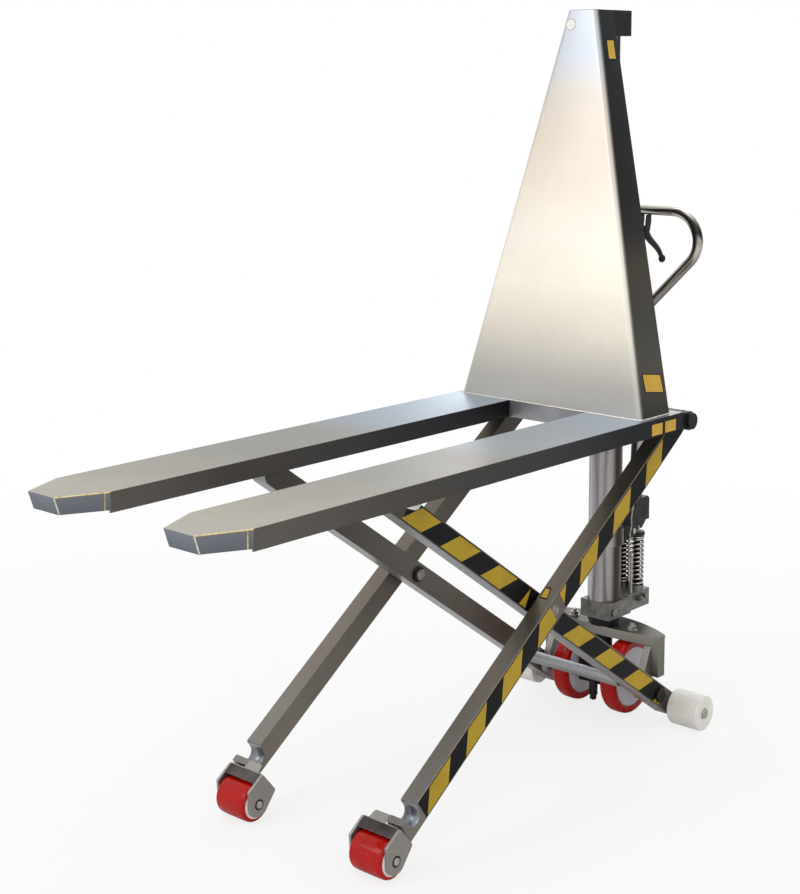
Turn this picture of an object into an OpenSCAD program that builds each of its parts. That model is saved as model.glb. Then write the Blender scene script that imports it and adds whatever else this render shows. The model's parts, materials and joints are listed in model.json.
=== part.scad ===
// Scissor pallet truck with a hand hydraulic lift, drawn with the forks raised.
// +Z is up, the forks point along -Y, and +X is the truck's left side.
// Lengths are in millimetres. The modules work from the foot of the mast's front plate.

/* [Forks] */
// Height of the fork tops above the floor, raised
fork_top = 777; // [700:1:850]
// Width over both forks
forks_w = 540; // [500:1:680]
// Width of one fork
fork_w = 160; // [140:1:180]
// Length of the forks in front of the mast
fork_len = 1275; // [1100:1:1400]
// Height of the fork's side walls
fork_h = 40; // [34:1:50]
// Plate thickness of the forks and the mast
plate_t = 4; // [3:0.5:5]
// Length of the tapered nose
nose_len = 97; // [80:1:120]
// How far the nose comes in on each side
nose_in = 43; // [30:1:50]
// Height of the nose at its tip
nose_h = 35; // [28:1:38]
// How far the nose's foot is set back behind its top edge
nose_slope = 12; // [6:1:18]

/* [Mast] */
// Height of the mast above the forks
mast_h = 904; // [800:1:1000]
// Half of the mast's width at its foot
mast_foot = 256.8; // [240:0.1:262]
// Half of the mast's width at its head
mast_head = 41.2; // [36:0.1:60]
// How far the front plate leans back over its height
mast_lean = 115.4; // [90:0.1:130]
// Depth of the side plates at the foot
mast_depth = 113; // [95:1:125]
// How far the rear edge of the side plates leans back over their height
rear_lean = 69; // [50:1:80]
// Height of the cap over the rod's end
cap_h = 59; // [50:1:70]

/* [Linkage] */
// Height of the lower pivot on the chassis
pivot_z = 79; // [75:0.5:85]
// Distance of the lower pivot behind the mast's foot
pivot_y = 200; // [190:1:215]
// Depth of the upper pivot under the fork top
pivot_drop = 30; // [29:0.5:34]
// Distance from an arm's end pivot to the centre pivot
arm_half = 585.6; // [560:0.1:620]
// Depth of the arms
arm_d = 50; // [44:1:50]
// Width of the arms
arm_w = 40; // [36:1:40]
// Wall of the arm tubes
arm_t = 4; // [3:0.5:6]
// Distance from the middle of the truck to the inner arm
inner_x = 148; // [148:1:150]
// Distance from the middle of the truck to the outer arm
outer_x = 198; // [196:1:198]
// Diameter of the linkage pins
pin_d = 25; // [20:1:28]
// Distance from the centre pivot to the load roller, along the outer arm
load_along = 627.6; // [620:0.1:640]
// Distance from the centre pivot to the top roller, along the inner arm
top_along = 545; // [535:1:555]
// Height of the top roller above its arm's centreline
top_rise = 8; // [7:0.5:9]
// Distance from the lower pivot to the cross tube, along the inner arm
tube_along = 120; // [110:1:135]
// Depth of the cross tube's axis under the arm's centreline
tube_drop = 17; // [12:1:20]
// Diameter of the cross tube
tube_d = 28; // [22:1:30]

/* [Rollers] */
// Diameter of the load rollers
load_d = 80; // [74:1:80]
// Width of the load rollers
load_w = 84; // [76:1:84]
// Diameter of the load rollers' hubs
load_hub_d = 66; // [50:1:70]
// Diameter of the load rollers' axles
load_axle_d = 16; // [12:1:20]
// Diameter of the stabiliser rollers
stab_d = 82; // [76:1:84]
// Width of the stabiliser rollers
stab_w = 79; // [70:1:79]
// Diameter of the stabiliser rollers' bushes
bush_d = 32; // [28:1:36]
// Diameter of the stabiliser rollers' axles
stab_axle_d = 24; // [18:1:25]
// Diameter of the top rollers
top_d = 32; // [28:1:34]
// Diameter of the top rollers' pins
top_pin_d = 14; // [10:1:16]

/* [Chassis and steering] */
// Distance of the steering axis behind the mast's foot
steer_y = 238; // [232:1:240]
// Height of the bridge's top face
bridge_z = 206; // [204:1:215]
// Plate thickness of the bridge
bridge_t = 8; // [6:1:10]
// Half of the bridge's width
bridge_x = 166; // [160:1:170]
// Thickness of the bridge's legs and the foot plates
leg_t = 18; // [14:1:18]
// Diameter of the steering spigot
spigot_d = 44; // [36:1:46]
// Diameter of the steering wheels
wheel_d = 180; // [170:1:182]
// Width of the steering wheels
wheel_w = 40; // [36:1:42]
// Diameter of the wheels' hubs
wheel_hub_d = 144; // [120:1:150]
// Gap between the two wheels
wheel_gap = 100; // [96:1:104]
// Edge radius of the wheels
wheel_edge = 8; // [5:0.5:10]
// Diameter of the wheels' axle
axle_d = 20; // [16:1:22]

/* [Pump] */
// Outer diameter of the cylinder
cyl_d = 80; // [76:1:82]
// Bore of the cylinder
bore_d = 60; // [54:1:62]
// Height of the cylinder tube's top
cyl_top = 938; // [930:1:940]
// Diameter of the lift rod
rod_d = 42; // [36:1:44]
// Height of the piston
piston_h = 24; // [18:1:26]
// Width of the pump block
block_w = 84; // [80:1:96]
// Height of the pump block
block_h = 42; // [38:1:42]
// Distance of the springs behind the steering axis
spring_back = 110; // [106:1:114]
// Distance of the springs from the middle of the truck
spring_x = 20; // [19:0.5:22]
// Outer diameter of the springs
spring_d = 36; // [30:1:37]
// Diameter of the spring wire
wire_d = 5; // [4:0.5:5.5]
// Number of curls in a spring
spring_turns = 12; // [9:1:13]
// Length of the springs
spring_len = 124; // [118:1:128]
// Diameter of the pump plungers
plunger_d = 16; // [12:1:20]

/* [Tiller] */
// Height of the tiller's pivot
tiller_z = 425; // [422:1:430]
// Distance of the tiller's pivot behind the steering axis
tiller_back = 74; // [70:1:76]
// Distance from the tiller's pivot to its presser roller
presser_arm = 38; // [34:1:40]
// Diameter of the presser roller
presser_d = 20; // [18:1:22]
// Diameter of the tiller shaft
shaft_d = 32; // [28:1:38]
// Height of the top of the shaft
shaft_top = 934; // [900:1:960]
// How far the shaft leans back over its length
shaft_lean = 25; // [10:1:35]
// Height of the handle loop's top bar
loop_top = 1207; // [1180:1:1250]
// Half of the handle loop's width
loop_x = 150; // [130:1:160]
// Bend radius of the handle loop's corners
loop_bend = 70; // [50:1:80]
// Diameter of the handle's tube
loop_d = 25; // [22:1:28]

/* [Hidden] */
$fn = 48;
// Gaps: a pin or shaft that turns in its bore, a seat, and side play
run = 0.05;
seat = 0.3;
play = 2;

// Linkage: the lower pivot, the upper pivot, the centre and the lift angle
pivot_top = fork_top - pivot_drop;
lift = asin((pivot_top - pivot_z) / (2 * arm_half));
center_y = pivot_y - arm_half * cos(lift);
center_z = pivot_z + arm_half * sin(lift);
load_rise = (load_d / 2 - center_z + load_along * sin(lift)) / cos(lift);
stab_along = (pivot_z - stab_d / 2) / sin(lift);
load_y = center_y - load_along * cos(lift) - load_rise * sin(lift);

// The two arms side by side, and the boss between them
inner_end = inner_x + arm_w;
outer_end = outer_x + arm_w;
boss_d = arm_d;
end_r = 22;
saddle_r = top_d / 2 + 3;
saddle_from = top_along - saddle_r - 6;
arm_tip = load_along - load_d / 2 - 10;

// The yoke round the load roller
load_x = (inner_x + outer_end) / 2 - 3;
cheek_t = 6;
cheek_in = load_x - load_w / 2 - play;
cheek_out = load_x + load_w / 2 + play;
yoke_top = max(arm_d / 2 + 0.5, load_rise + load_d / 2 + 3.6);
yoke_plate_t = yoke_top - load_rise - load_d / 2 - 0.6;

// Forks
fork_out = forks_w / 2;
fork_in = fork_out - fork_w;
fork_rear = pivot_y - 49;
wall_rear = fork_rear - 20;
fork_under = fork_top - plate_t;
fork_low = fork_top - fork_h;
nose_y = nose_len - fork_len;
foot_step = 0.5;
cross_d = 50;

// Upper pivot ears
ear_x = outer_end + 4;
ear_t = 16;
head_d = 38;
head_t = 8;

// Mast
mast_low = fork_top - foot_step;
mast_top = fork_top + mast_h;
cap_low = mast_top + 1 - cap_h;
cap_x = mast_head;
cap_rear = steer_y + rod_d / 2;

// Chassis
bridge_front = pivot_y + 27;
bridge_back = bridge_front + 28;
bulge_front = 18;
bulge_back = 48;
flange_low = wheel_d + 3;
leg_low = pivot_z + arm_d / 2 + 4;
foot_x = inner_x - 3 - leg_t;
corner_r = 12;
bolt_x = 85;
bolt_d = 12;
race_d = 72;
race_h = 9;

// Steering
wheel_x = wheel_gap / 2;
carrier_x = wheel_x - play;
carrier_d = 68;
carrier_low = wheel_d / 2 - 30;
carrier_top = wheel_d / 2 + 50;
stay_w = 18;
stay_t = 12;
stay_low = 34;
stay_top = 168;

// Pump
block_low = bridge_z + 2 * race_h + 1;
block_top = block_low + block_h;
block_front = steer_y - 38;
block_rear = steer_y + 146;
block_len = 92;
tail_x = 34;
plug_z = block_low + 26;
gland_d = cyl_d + 4;
gland_h = 12;
rod_low = fork_top + 123;
lift_h = pivot_top - pivot_z;
bore_low = rod_low - lift_h - 0.6;
spring_y = steer_y + spring_back;
spring_low = tiller_z - presser_d / 2 - 10 - spring_len;
spring_cap_low = spring_low + spring_len;
spring_cap_t = 10;
plunger_low = spring_low - 16;
plunger_travel = 30;
release_x = 28;
release_h = 96;
// Tiller
tiller_y = steer_y + tiller_back;
base_x = 24;
ear_in = base_x + play;
bracket_t = 8;
tiller_pin_d = 14;
presser_y = tiller_y + presser_arm;
base_len = 82;
base_h = 72;
base_top = tiller_z + base_h;
shaft_y = tiller_y + 54;
shaft_z = tiller_z + 55;
loop_y = shaft_y + shaft_lean;
loop_foot = 24;
lever_z = loop_top - 48;
lever_pin_d = 8;
lug_x = 10;
lug_t = 4;
ball_d = 16;
ball_y = loop_y + 82;
ball_z = lever_z - 88;

// The whole truck is drawn about the middle of its length
shift_y = (fork_len - (ball_y + ball_d / 2)) / 2;

steel = "#b9b8b2";
dark_steel = "#6f7072";
black = "#1c1c1e";
red = "#c82018";
white = "#e8e8e4";
pale_grey = "#c3c3ca";

module placed() {
  translate([0, shift_y, 0]) children();
}

// A profile drawn as [y, z], stretched from x0 to x1
module across(x0, x1) {
  translate([x0, 0, 0]) rotate([90, 0, 90]) linear_extrude(x1 - x0) children();
}

module rod_x(x0, x1, y, z, d) {
  translate([x0, y, z]) rotate([0, 90, 0]) cylinder(h = x1 - x0, d = d);
}

module on_side(left) {
  if (left) children();
  else mirror([1, 0, 0]) children();
}

module both_sides() {
  for (left = [true, false]) on_side(left) children();
}

// Profiles along an arm start at its rear pivot, with the first axis towards the centre pivot
module inner_line() {
  translate([pivot_y, pivot_z]) rotate(180 - lift) mirror([0, 1]) children();
}

module outer_line() {
  translate([pivot_y, pivot_top]) rotate(180 + lift) mirror([0, 1]) children();
}

// A roller's ring with rounded edges, about its own axis
module ring(outer, inner, w, edge) {
  rotate_extrude() difference() {
    union() {
      translate([0, -w / 2]) square([outer / 2 - edge, w]);
      translate([0, edge - w / 2]) square([outer / 2, w - 2 * edge]);
      for (s = [-1, 1]) translate([outer / 2 - edge, s * (w / 2 - edge)]) circle(r = edge);
    }
    translate([0, -w]) square([inner / 2, 2 * w]);
    translate([-outer, -w]) square([outer, 2 * w]);
  }
}

module wheel_at(x, y, z) {
  translate([x, y, z]) rotate([0, 90, 0]) children();
}

// Chassis
module bridge_outline() {
  difference() {
    union() {
      translate([-bridge_x, bridge_front]) square([2 * bridge_x, bridge_back - bridge_front]);
      intersection() {
        bulge(bridge_x, bulge_front, bridge_front, -1);
        translate([-bridge_x, bridge_front - bulge_front - 1]) square([2 * bridge_x, bulge_front + 2]);
      }
      intersection() {
        bulge(bridge_x, bulge_back, bridge_back, 1);
        translate([-bridge_x, bridge_back - 1]) square([2 * bridge_x, bulge_back + 2]);
      }
    }
    translate([0, steer_y]) circle(d = spigot_d + 2 * run);
  }
}

// A shallow arc of the given rise over a chord from -half to half
module bulge(half, rise, y, way) {
  r = (half * half + rise * rise) / (2 * rise);
  translate([0, y + way * (rise - r)]) circle(r = r, $fn = 96);
}

module bridge_leg() {
  across(foot_x + leg_t, bridge_x) difference() {
    translate([bridge_front - 1, leg_low]) square([bridge_back - bridge_front, bridge_z - leg_low]);
    translate([bridge_back - 1 - corner_r, bridge_z - corner_r]) difference() {
      square(2 * corner_r);
      circle(r = corner_r);
    }
  }
}

module bridge() {
  color(steel) {
    difference() {
      union() {
        translate([0, 0, bridge_z - bridge_t]) linear_extrude(bridge_t) bridge_outline();
        translate([0, 0, flange_low]) linear_extrude(bridge_z - flange_low - 1) intersection() {
          difference() {
            bulge(bridge_x, bulge_front, bridge_front, -1);
            translate([0, bridge_t]) bulge(bridge_x, bulge_front, bridge_front, -1);
          }
          translate([-bridge_x, bridge_front - bulge_front - 1]) square([2 * bridge_x, bulge_front + 9]);
        }
        both_sides() bridge_leg();
      }
      translate([0, steer_y, 0]) cylinder(h = bridge_z, d = spigot_d + 2 * run);
    }
  }
}

// Each foot plate runs from the bridge's leg down to the lower pivot
module foot_plate() {
  across(foot_x, foot_x + leg_t) difference() {
    hull() {
      translate([pivot_y, pivot_z]) circle(r = end_r);
      translate([bridge_front + 10, leg_low + 30]) circle(r = 10, $fn = 32);
      translate([bridge_front, flange_low - 2]) square([bridge_back - bridge_front, 1]);
    }
    translate([pivot_y, pivot_z]) circle(d = pin_d + 2 * run);
  }
}

module foot_plates() {
  color(steel) both_sides() foot_plate();
}

module lower_pins() {
  color(dark_steel) both_sides() {
    rod_x(foot_x - 4, inner_end + 6, pivot_y, pivot_z, pin_d);
    rod_x(inner_end + seat, inner_end + 6, pivot_y, pivot_z, pin_d + 10);
  }
}

module bolt_up(x, y, z, d, h) {
  translate([x, y, z]) {
    cylinder(h = 2, d = 2.1 * d);
    cylinder(h = 0.7 * d + 2, d = 1.75 * d, $fn = 6);
    cylinder(h = h, d = d);
  }
}

module bridge_bolts() {
  color(dark_steel) both_sides() bolt_up(bolt_x, bridge_front + 8, bridge_z, bolt_d, 1.5 * bolt_d);
}

module lower_race() {
  color(black) translate([0, steer_y, bridge_z]) difference() {
    cylinder(h = race_h, d = race_d);
    translate([0, 0, -1]) cylinder(h = race_h + 2, d = spigot_d + 2 * run);
  }
}

// Steering
module upper_race() {
  color(black) translate([0, steer_y, bridge_z + race_h + seat]) difference() {
    cylinder(h = block_low - bridge_z - race_h - seat, d = race_d + 6);
    translate([0, 0, -1]) cylinder(h = race_h + 4, d = spigot_d + 2 * run);
  }
}

module wheel_carrier() {
  color(dark_steel) difference() {
    union() {
      translate([-carrier_x, steer_y - carrier_d / 2, carrier_low])
        cube([2 * carrier_x, carrier_d, carrier_top - carrier_low]);
      translate([0, steer_y, carrier_top - 1]) cylinder(h = block_low - carrier_top + 1, d = spigot_d);
    }
    rod_x(-wheel_x, wheel_x, steer_y, wheel_d / 2, axle_d + 2 * run);
  }
}

module wheel_axle() {
  color(dark_steel) rod_x(-wheel_x - wheel_w - 8, wheel_x + wheel_w + 8, steer_y, wheel_d / 2, axle_d);
}

module axle_caps() {
  color(pale_grey) both_sides() difference() {
    rod_x(wheel_x + wheel_w + seat, wheel_x + wheel_w + 4, steer_y, wheel_d / 2, axle_d + 14);
    rod_x(wheel_x, wheel_x + wheel_w + 9, steer_y, wheel_d / 2, axle_d + 2 * run);
  }
}

// A narrow stay in front of the wheels, with a bolt at its foot
module carrier_stay() {
  color(dark_steel) translate([0, steer_y - carrier_d / 2 - stay_t / 2, stay_low]) {
    translate([-stay_w / 2, -stay_t / 2, 0]) cube([stay_w, stay_t, stay_top - stay_low]);
    translate([0, 0, -12]) cylinder(h = 13, d = 10);
    translate([0, 0, -10]) cylinder(h = 10, d = stay_w, $fn = 6);
  }
}

module wheel_hub() {
  color(pale_grey) difference() {
    union() {
      cylinder(h = wheel_w - 4, d = wheel_hub_d, center = true, $fn = 96);
      cylinder(h = wheel_w, d = 52, center = true);
    }
    cylinder(h = 2 * wheel_w, d = axle_d + 2 * run, center = true);
  }
}

module wheel_tread() {
  color(red) ring(wheel_d, wheel_hub_d + 2 * run, wheel_w, wheel_edge, $fn = 96);
}

// Pump
module pump_block() {
  color(dark_steel) difference() {
    union() {
      translate([-block_w / 2, block_front, block_low]) cube([block_w, block_len, block_h]);
      translate([-tail_x, block_front + block_len - 1, block_low])
        cube([2 * tail_x, block_rear - block_front - block_len + 1, block_h]);
      for (s = [-1, 1]) translate([s * spring_x, spring_y, block_top - 1])
        cylinder(h = spring_low - block_top + 1, d = spring_d);
    }
    translate([0, steer_y, bore_low]) cylinder(h = block_top, d = bore_d);
    for (s = [-1, 1]) translate([s * spring_x, spring_y, plunger_low - plunger_travel - 3])
      cylinder(h = block_top, d = plunger_d + 2 * run);
  }
}

module pump_fittings() {
  color(pale_grey) {
    rod_x(block_w / 2, block_w / 2 + 4, block_front + 20, plug_z - 9, 17);
    rod_x(tail_x, tail_x + 12, block_rear - 50, plug_z, 14);
    rod_x(tail_x + 11, tail_x + 16, block_rear - 50, plug_z, 8);
    translate([tail_x, block_rear - 24, plug_z]) rotate([0, 90, 0]) cylinder(h = 9, d = 15, $fn = 6);
  }
}

module cylinder_tube() {
  color(steel) translate([0, steer_y, block_top]) difference() {
    cylinder(h = cyl_top - block_top, d = cyl_d, $fn = 96);
    translate([0, 0, -1]) cylinder(h = cyl_top, d = bore_d, $fn = 96);
  }
}

module gland() {
  color(dark_steel) translate([0, steer_y, cyl_top]) difference() {
    cylinder(h = gland_h, d = gland_d, $fn = 96);
    translate([0, 0, -1]) cylinder(h = gland_h + 2, d = rod_d + 2 * run);
  }
}

// The rod that opens the release valve, beside the springs
module release_rod() {
  color(pale_grey) {
    translate([release_x, tiller_y, block_top]) cylinder(h = release_h, d = 7);
    translate([release_x, tiller_y, block_top + release_h]) sphere(d = 12);
  }
}

module plungers() {
  color(pale_grey) for (s = [-1, 1]) translate([s * spring_x, spring_y, plunger_low])
    cylinder(h = spring_cap_low - plunger_low, d = plunger_d);
}

module spring_cap() {
  color(dark_steel) translate([0, 0, spring_cap_low]) linear_extrude(spring_cap_t) hull()
    for (s = [-1, 1]) translate([s * spring_x, spring_y]) circle(d = spring_d + 2);
}

// One unbroken helix: its ends run straight along the axis for one wire diameter
spring_r = (spring_d - wire_d) / 2;
curl_steps = 8;
spring_rise = spring_len - 2 * wire_d;
spring_n = spring_turns * curl_steps;
function spring_point(i) =
  let (a = 360 * i / curl_steps)
  [spring_r * cos(a), spring_r * sin(a), wire_d + spring_rise * i / spring_n];
spring_path = concat(
  [[spring_r, 0, 0]],
  [for (i = [0:spring_n]) spring_point(i)],
  [[spring_r, 0, spring_len]]);

function unit(v) = v / norm(v);
function heading(p, i) =
  i == 0 || i == len(p) - 1 ? [0, 0, 1] : unit(unit(p[i + 1] - p[i]) + unit(p[i] - p[i - 1]));

// The ring of points round one place on the path, square to its heading
function wire_ring(p, i, d, sides) =
  let (t = heading(p, i),
       out = unit([p[i][0], p[i][1], 0] - t * ([p[i][0], p[i][1], 0] * t)),
       up = cross(t, out))
  [for (k = [0:sides - 1]) p[i] + d / 2 * (out * cos(360 * k / sides) + up * sin(360 * k / sides))];

module swept(path, d, sides) {
  n = len(path);
  points = [for (i = [0:n - 1]) each wire_ring(path, i, d, sides)];
  walls = [for (i = [0:n - 2], k = [0:sides - 1])
    let (a = i * sides + k, b = i * sides + (k + 1) % sides)
    each [[a, a + sides, b], [b, a + sides, b + sides]]];
  ends = [for (k = [1:sides - 2])
    each [[0, k, k + 1], [(n - 1) * sides, (n - 1) * sides + k + 1, (n - 1) * sides + k]]];
  polyhedron(points, concat(walls, ends), convexity = 10);
}

// The least gap of the spring to itself, measured between rings most of a curl apart
spring_gap = min([for (i = [1:len(spring_path) - 2])
  for (j = [i + 5:1:min(len(spring_path) - 2, i + 11)])
    norm(spring_path[i] - spring_path[j])]) - wire_d;
echo(spring_gap = spring_gap);

module spring(s) {
  color(steel) translate([s * spring_x, spring_y, spring_low])
    rotate(s > 0 ? 0 : 180) swept(spring_path, wire_d, 6);
}

// Tiller
module tiller_bracket() {
  color(dark_steel) difference() {
    union() {
      translate([0, steer_y, tiller_z - 20]) difference() {
        cylinder(h = 40, d = cyl_d + 12, $fn = 96);
        translate([0, 0, -1]) cylinder(h = 42, d = cyl_d + 2 * run, $fn = 96);
      }
      both_sides() across(ear_in, ear_in + bracket_t) hull() {
        translate([steer_y + cyl_d / 2 - 4, tiller_z - 18]) square([1, 36]);
        translate([tiller_y, tiller_z]) circle(r = 14);
      }
    }
    translate([0, steer_y, tiller_z - 30]) cylinder(h = 60, d = cyl_d + 2 * run, $fn = 96);
    rod_x(-ear_in - 20, ear_in + 20, tiller_y, tiller_z, tiller_pin_d + 2 * run);
  }
}

module tiller_pin() {
  color(pale_grey) {
    x = ear_in + bracket_t + 3;
    rod_x(-x, x, tiller_y, tiller_z, tiller_pin_d);
  }
}

// The block behind the pivot; its sloping underside clears the springs when the tiller is down
module base_profile() {
  translate([tiller_y, tiller_z]) {
    circle(r = 13);
    polygon([[-11, 6], [6, -11], [40, -4], [51, -4], [68.5, 13.5], [base_len, 13.5],
      [base_len, base_h - 6], [base_len - 6, base_h], [30, base_h]]);
  }
}

module tiller_base() {
  color(dark_steel) difference() {
    across(-base_x, base_x) base_profile();
    rod_x(-base_x - 1, base_x + 1, tiller_y, tiller_z, tiller_pin_d + 2 * run);
    rod_x(-13, 13, presser_y, tiller_z, presser_d + 2 * play);
    rod_x(-base_x - 1, base_x + 1, presser_y, tiller_z, 8);
  }
}

module presser_roller() {
  color(pale_grey) {
    rod_x(-12, 12, presser_y, tiller_z, presser_d - 2 * seat);
    rod_x(-base_x, base_x, presser_y, tiller_z, 8 - 2 * run);
  }
}

// The shaft runs from the base block up to the foot of the handle loop
module on_shaft() {
  translate([0, shaft_y, shaft_z]) rotate([-atan(shaft_lean / (shaft_top - shaft_z)), 0, 0]) children();
}

shaft_len = norm([shaft_lean, shaft_top - shaft_z]);
module tiller_shaft() {
  color(white) difference() {
    on_shaft() translate([0, 0, base_top + 1 - shaft_z])
      cylinder(h = shaft_len + shaft_z - base_top, d = shaft_d);
    translate([-shaft_d, loop_y - shaft_d, shaft_top]) cube(2 * shaft_d);
    translate([-shaft_d, shaft_y - shaft_d, base_top - 2 * shaft_d + seat]) cube(2 * shaft_d);
  }
}

// The loop lies in one upright plane: a straight top, one bend each side and straight sides to a point.
// The bends are a hair thinner than the straight tube and run one degree into it.
bend_thin = 0.2;
foot_z = shaft_top + loop_foot;
bend_x = loop_x - loop_bend;
bend_z = loop_top - loop_bend;
foot_reach = norm([bend_x, bend_z - foot_z]);
side_tilt = atan(bend_x / (bend_z - foot_z)) + asin(loop_bend / foot_reach);
side_len = sqrt(foot_reach * foot_reach - loop_bend * loop_bend);

module tiller_loop() {
  color(pale_grey) translate([0, loop_y, 0]) {
    translate([-bend_x, 0, loop_top]) rotate([0, 90, 0]) cylinder(h = 2 * bend_x, d = loop_d);
    translate([0, 0, shaft_top + seat]) cylinder(h = loop_foot + loop_d / 2, d = loop_d + 7);
    both_sides() {
      translate([bend_x, 0, bend_z]) rotate([90, 0, 0]) rotate([0, 0, -side_tilt - 1])
        rotate_extrude(angle = 92 + side_tilt) translate([loop_bend, 0]) circle(d = loop_d - bend_thin);
      translate([0, 0, foot_z]) rotate([0, side_tilt, 0]) cylinder(h = side_len, d = loop_d);
    }
  }
}

module lever_bracket() {
  color(black) difference() {
    for (s = [-1, 1]) across(s * lug_x - lug_t / 2, s * lug_x + lug_t / 2) hull() {
      translate([loop_y, loop_top - loop_d / 2 - 8]) square([18, 16], center = true);
      translate([loop_y - 5, lever_z]) circle(r = 9);
    }
    rod_x(-loop_d, loop_d, loop_y, loop_top, loop_d);
    rod_x(-loop_d, loop_d, loop_y - 5, lever_z, lever_pin_d);
  }
}

module lever() {
  color(black) {
    rod_x(-12, 12, loop_y - 5, lever_z, lever_pin_d - 2 * run);
    rod_x(-7, 7, loop_y - 5, lever_z, 18);
    across(-4, 4) hull() {
      translate([loop_y - 5, lever_z]) circle(r = 7);
      translate([ball_y, ball_z]) circle(r = 4);
    }
    translate([0, ball_y, ball_z]) sphere(d = ball_d);
  }
}

// Inner arms: box tubes from the stabiliser axle past the lower pivot and the centre to the top roller
module inner_arm(left) {
  color(steel) on_side(left) {
    difference() {
      across(inner_x, inner_end) inner_line() {
        translate([-stab_along + 10, -arm_d / 2]) square([arm_half + top_along + stab_along - 10, arm_d]);
        translate([-stab_along, 0]) circle(d = arm_d);
        translate([arm_half + top_along, 0]) circle(d = arm_d);
      }
      across(inner_x + arm_t, inner_end - arm_t) inner_line() difference() {
        translate([-stab_along + 28, arm_t - arm_d / 2])
          square([arm_half + top_along + stab_along - 50, arm_d - 2 * arm_t]);
        circle(d = pin_d + 14);
        translate([arm_half, 0]) circle(d = pin_d + 14);
      }
      across(inner_x - 1, inner_end + 1) inner_line() {
        circle(d = pin_d + 2 * run);
        translate([arm_half, 0]) circle(d = pin_d + 2 * run);
        translate([-stab_along, 0]) circle(d = stab_axle_d + 2 * run);
        translate([arm_half + top_along, top_rise]) circle(d = top_pin_d + 2 * run);
      }
    }
  }
}

module cross_tube() {
  color(dark_steel) across(-inner_x, inner_x) inner_line()
    translate([tube_along, -tube_drop]) difference() {
      circle(d = tube_d);
      circle(d = tube_d - 2 * arm_t);
    }
}

// Centre pins with the boss between the arms, and a washer and nut inside
module center_pins() {
  color(dark_steel) both_sides() {
    rod_x(inner_x - 12, outer_end, center_y, center_z, pin_d);
    rod_x(inner_end, outer_x - seat, center_y, center_z, boss_d);
    rod_x(inner_x - 3, inner_x, center_y, center_z, pin_d + 15);
    translate([inner_x - 11, center_y, center_z]) rotate([0, 90, 0]) cylinder(h = 8, d = pin_d + 11, $fn = 6);
  }
}

module stab_axles() {
  color(dark_steel) both_sides() across(inner_x + 4, outer_x + 1 + stab_w + 3) inner_line()
    translate([-stab_along, 0]) circle(d = stab_axle_d);
}

stab_y = pivot_y + stab_along * cos(lift);
stab_z = stab_d / 2;
module stab_roller(left) {
  color(white) on_side(left) wheel_at(outer_x + 1 + stab_w / 2, stab_y, stab_z)
    ring(stab_d, bush_d + 2 * run, stab_w, 6, $fn = 96);
}

module stab_bush(left) {
  color(black) on_side(left) wheel_at(outer_x + 1 + stab_w / 2, stab_y, stab_z) difference() {
    cylinder(h = stab_w, d = bush_d, center = true);
    cylinder(h = stab_w + 2, d = stab_axle_d + 2 * run, center = true);
  }
}

module top_pins() {
  color(pale_grey) both_sides() across(inner_x + 4, outer_end - 1) inner_line()
    translate([arm_half + top_along, top_rise]) circle(d = top_pin_d);
}

module top_roller(left) {
  color(white) on_side(left) across(outer_x + play, outer_end - play) inner_line()
    translate([arm_half + top_along, top_rise]) difference() {
      circle(d = top_d);
      circle(d = top_pin_d + 2 * run);
    }
}

// Outer arms: box tubes from the upper pivot past the centre, with the top roller's saddle near the yoke
module outer_arm(left) {
  color(steel) on_side(left) {
    difference() {
      across(outer_x, outer_end) outer_line() {
        circle(r = end_r);
        polygon([[0, -end_r], [end_r + 8, -arm_d / 2], [arm_half + arm_tip, -arm_d / 2],
          [arm_half + arm_tip, arm_d / 2], [end_r + 8, arm_d / 2], [0, end_r]]);
      }
      across(outer_x + arm_t, outer_end - arm_t) outer_line() difference() {
        translate([end_r + 8, arm_t - arm_d / 2])
          square([arm_half + saddle_from - end_r - 8, arm_d - 2 * arm_t]);
        translate([arm_half, 0]) circle(d = pin_d + 14);
      }
      across(outer_x - 1, outer_end + 1) outer_line() {
        circle(d = pin_d + 2 * run);
        translate([arm_half, 0]) circle(d = pin_d + 2 * run);
        translate([arm_half + top_along, top_rise]) {
          circle(r = saddle_r);
          translate([-saddle_r, 0]) square([2 * saddle_r, arm_d]);
        }
      }
    }
  }
}

// The yoke: two cheeks outside the load roller, joined by a plate over its rear
module cheek_profile() {
  translate([arm_half + load_along, load_rise]) circle(r = 24);
  polygon([
    [arm_half + arm_tip, -arm_d / 2 - 7], [arm_half + arm_tip, yoke_top],
    [arm_half + load_along + 4, yoke_top], [arm_half + load_along + 24, load_rise],
    [arm_half + load_along, load_rise - 24]]);
}

module yoke(left) {
  color(steel) on_side(left) {
    for (x = [cheek_in - cheek_t, cheek_out]) across(x, x + cheek_t) outer_line() difference() {
      cheek_profile();
      translate([arm_half + load_along, load_rise]) circle(d = load_axle_d + 2 * run);
    }
    across(cheek_in - 1, cheek_out + 1) outer_line()
      translate([arm_half + arm_tip, yoke_top - yoke_plate_t]) square([load_along + 4 - arm_tip, yoke_plate_t]);
  }
}

module load_pins() {
  color(pale_grey) both_sides()
    rod_x(cheek_in - cheek_t - 2, cheek_out + cheek_t + 2, load_y, load_d / 2, load_axle_d);
}

module load_tread() {
  color(red) ring(load_d, load_hub_d + 2 * run, load_w, 7, $fn = 96);
}

module load_hub() {
  color(white) difference() {
    cylinder(h = load_w - 2, d = load_hub_d, center = true);
    cylinder(h = load_w + 2, d = load_axle_d + 2 * run, center = true);
  }
}

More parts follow.
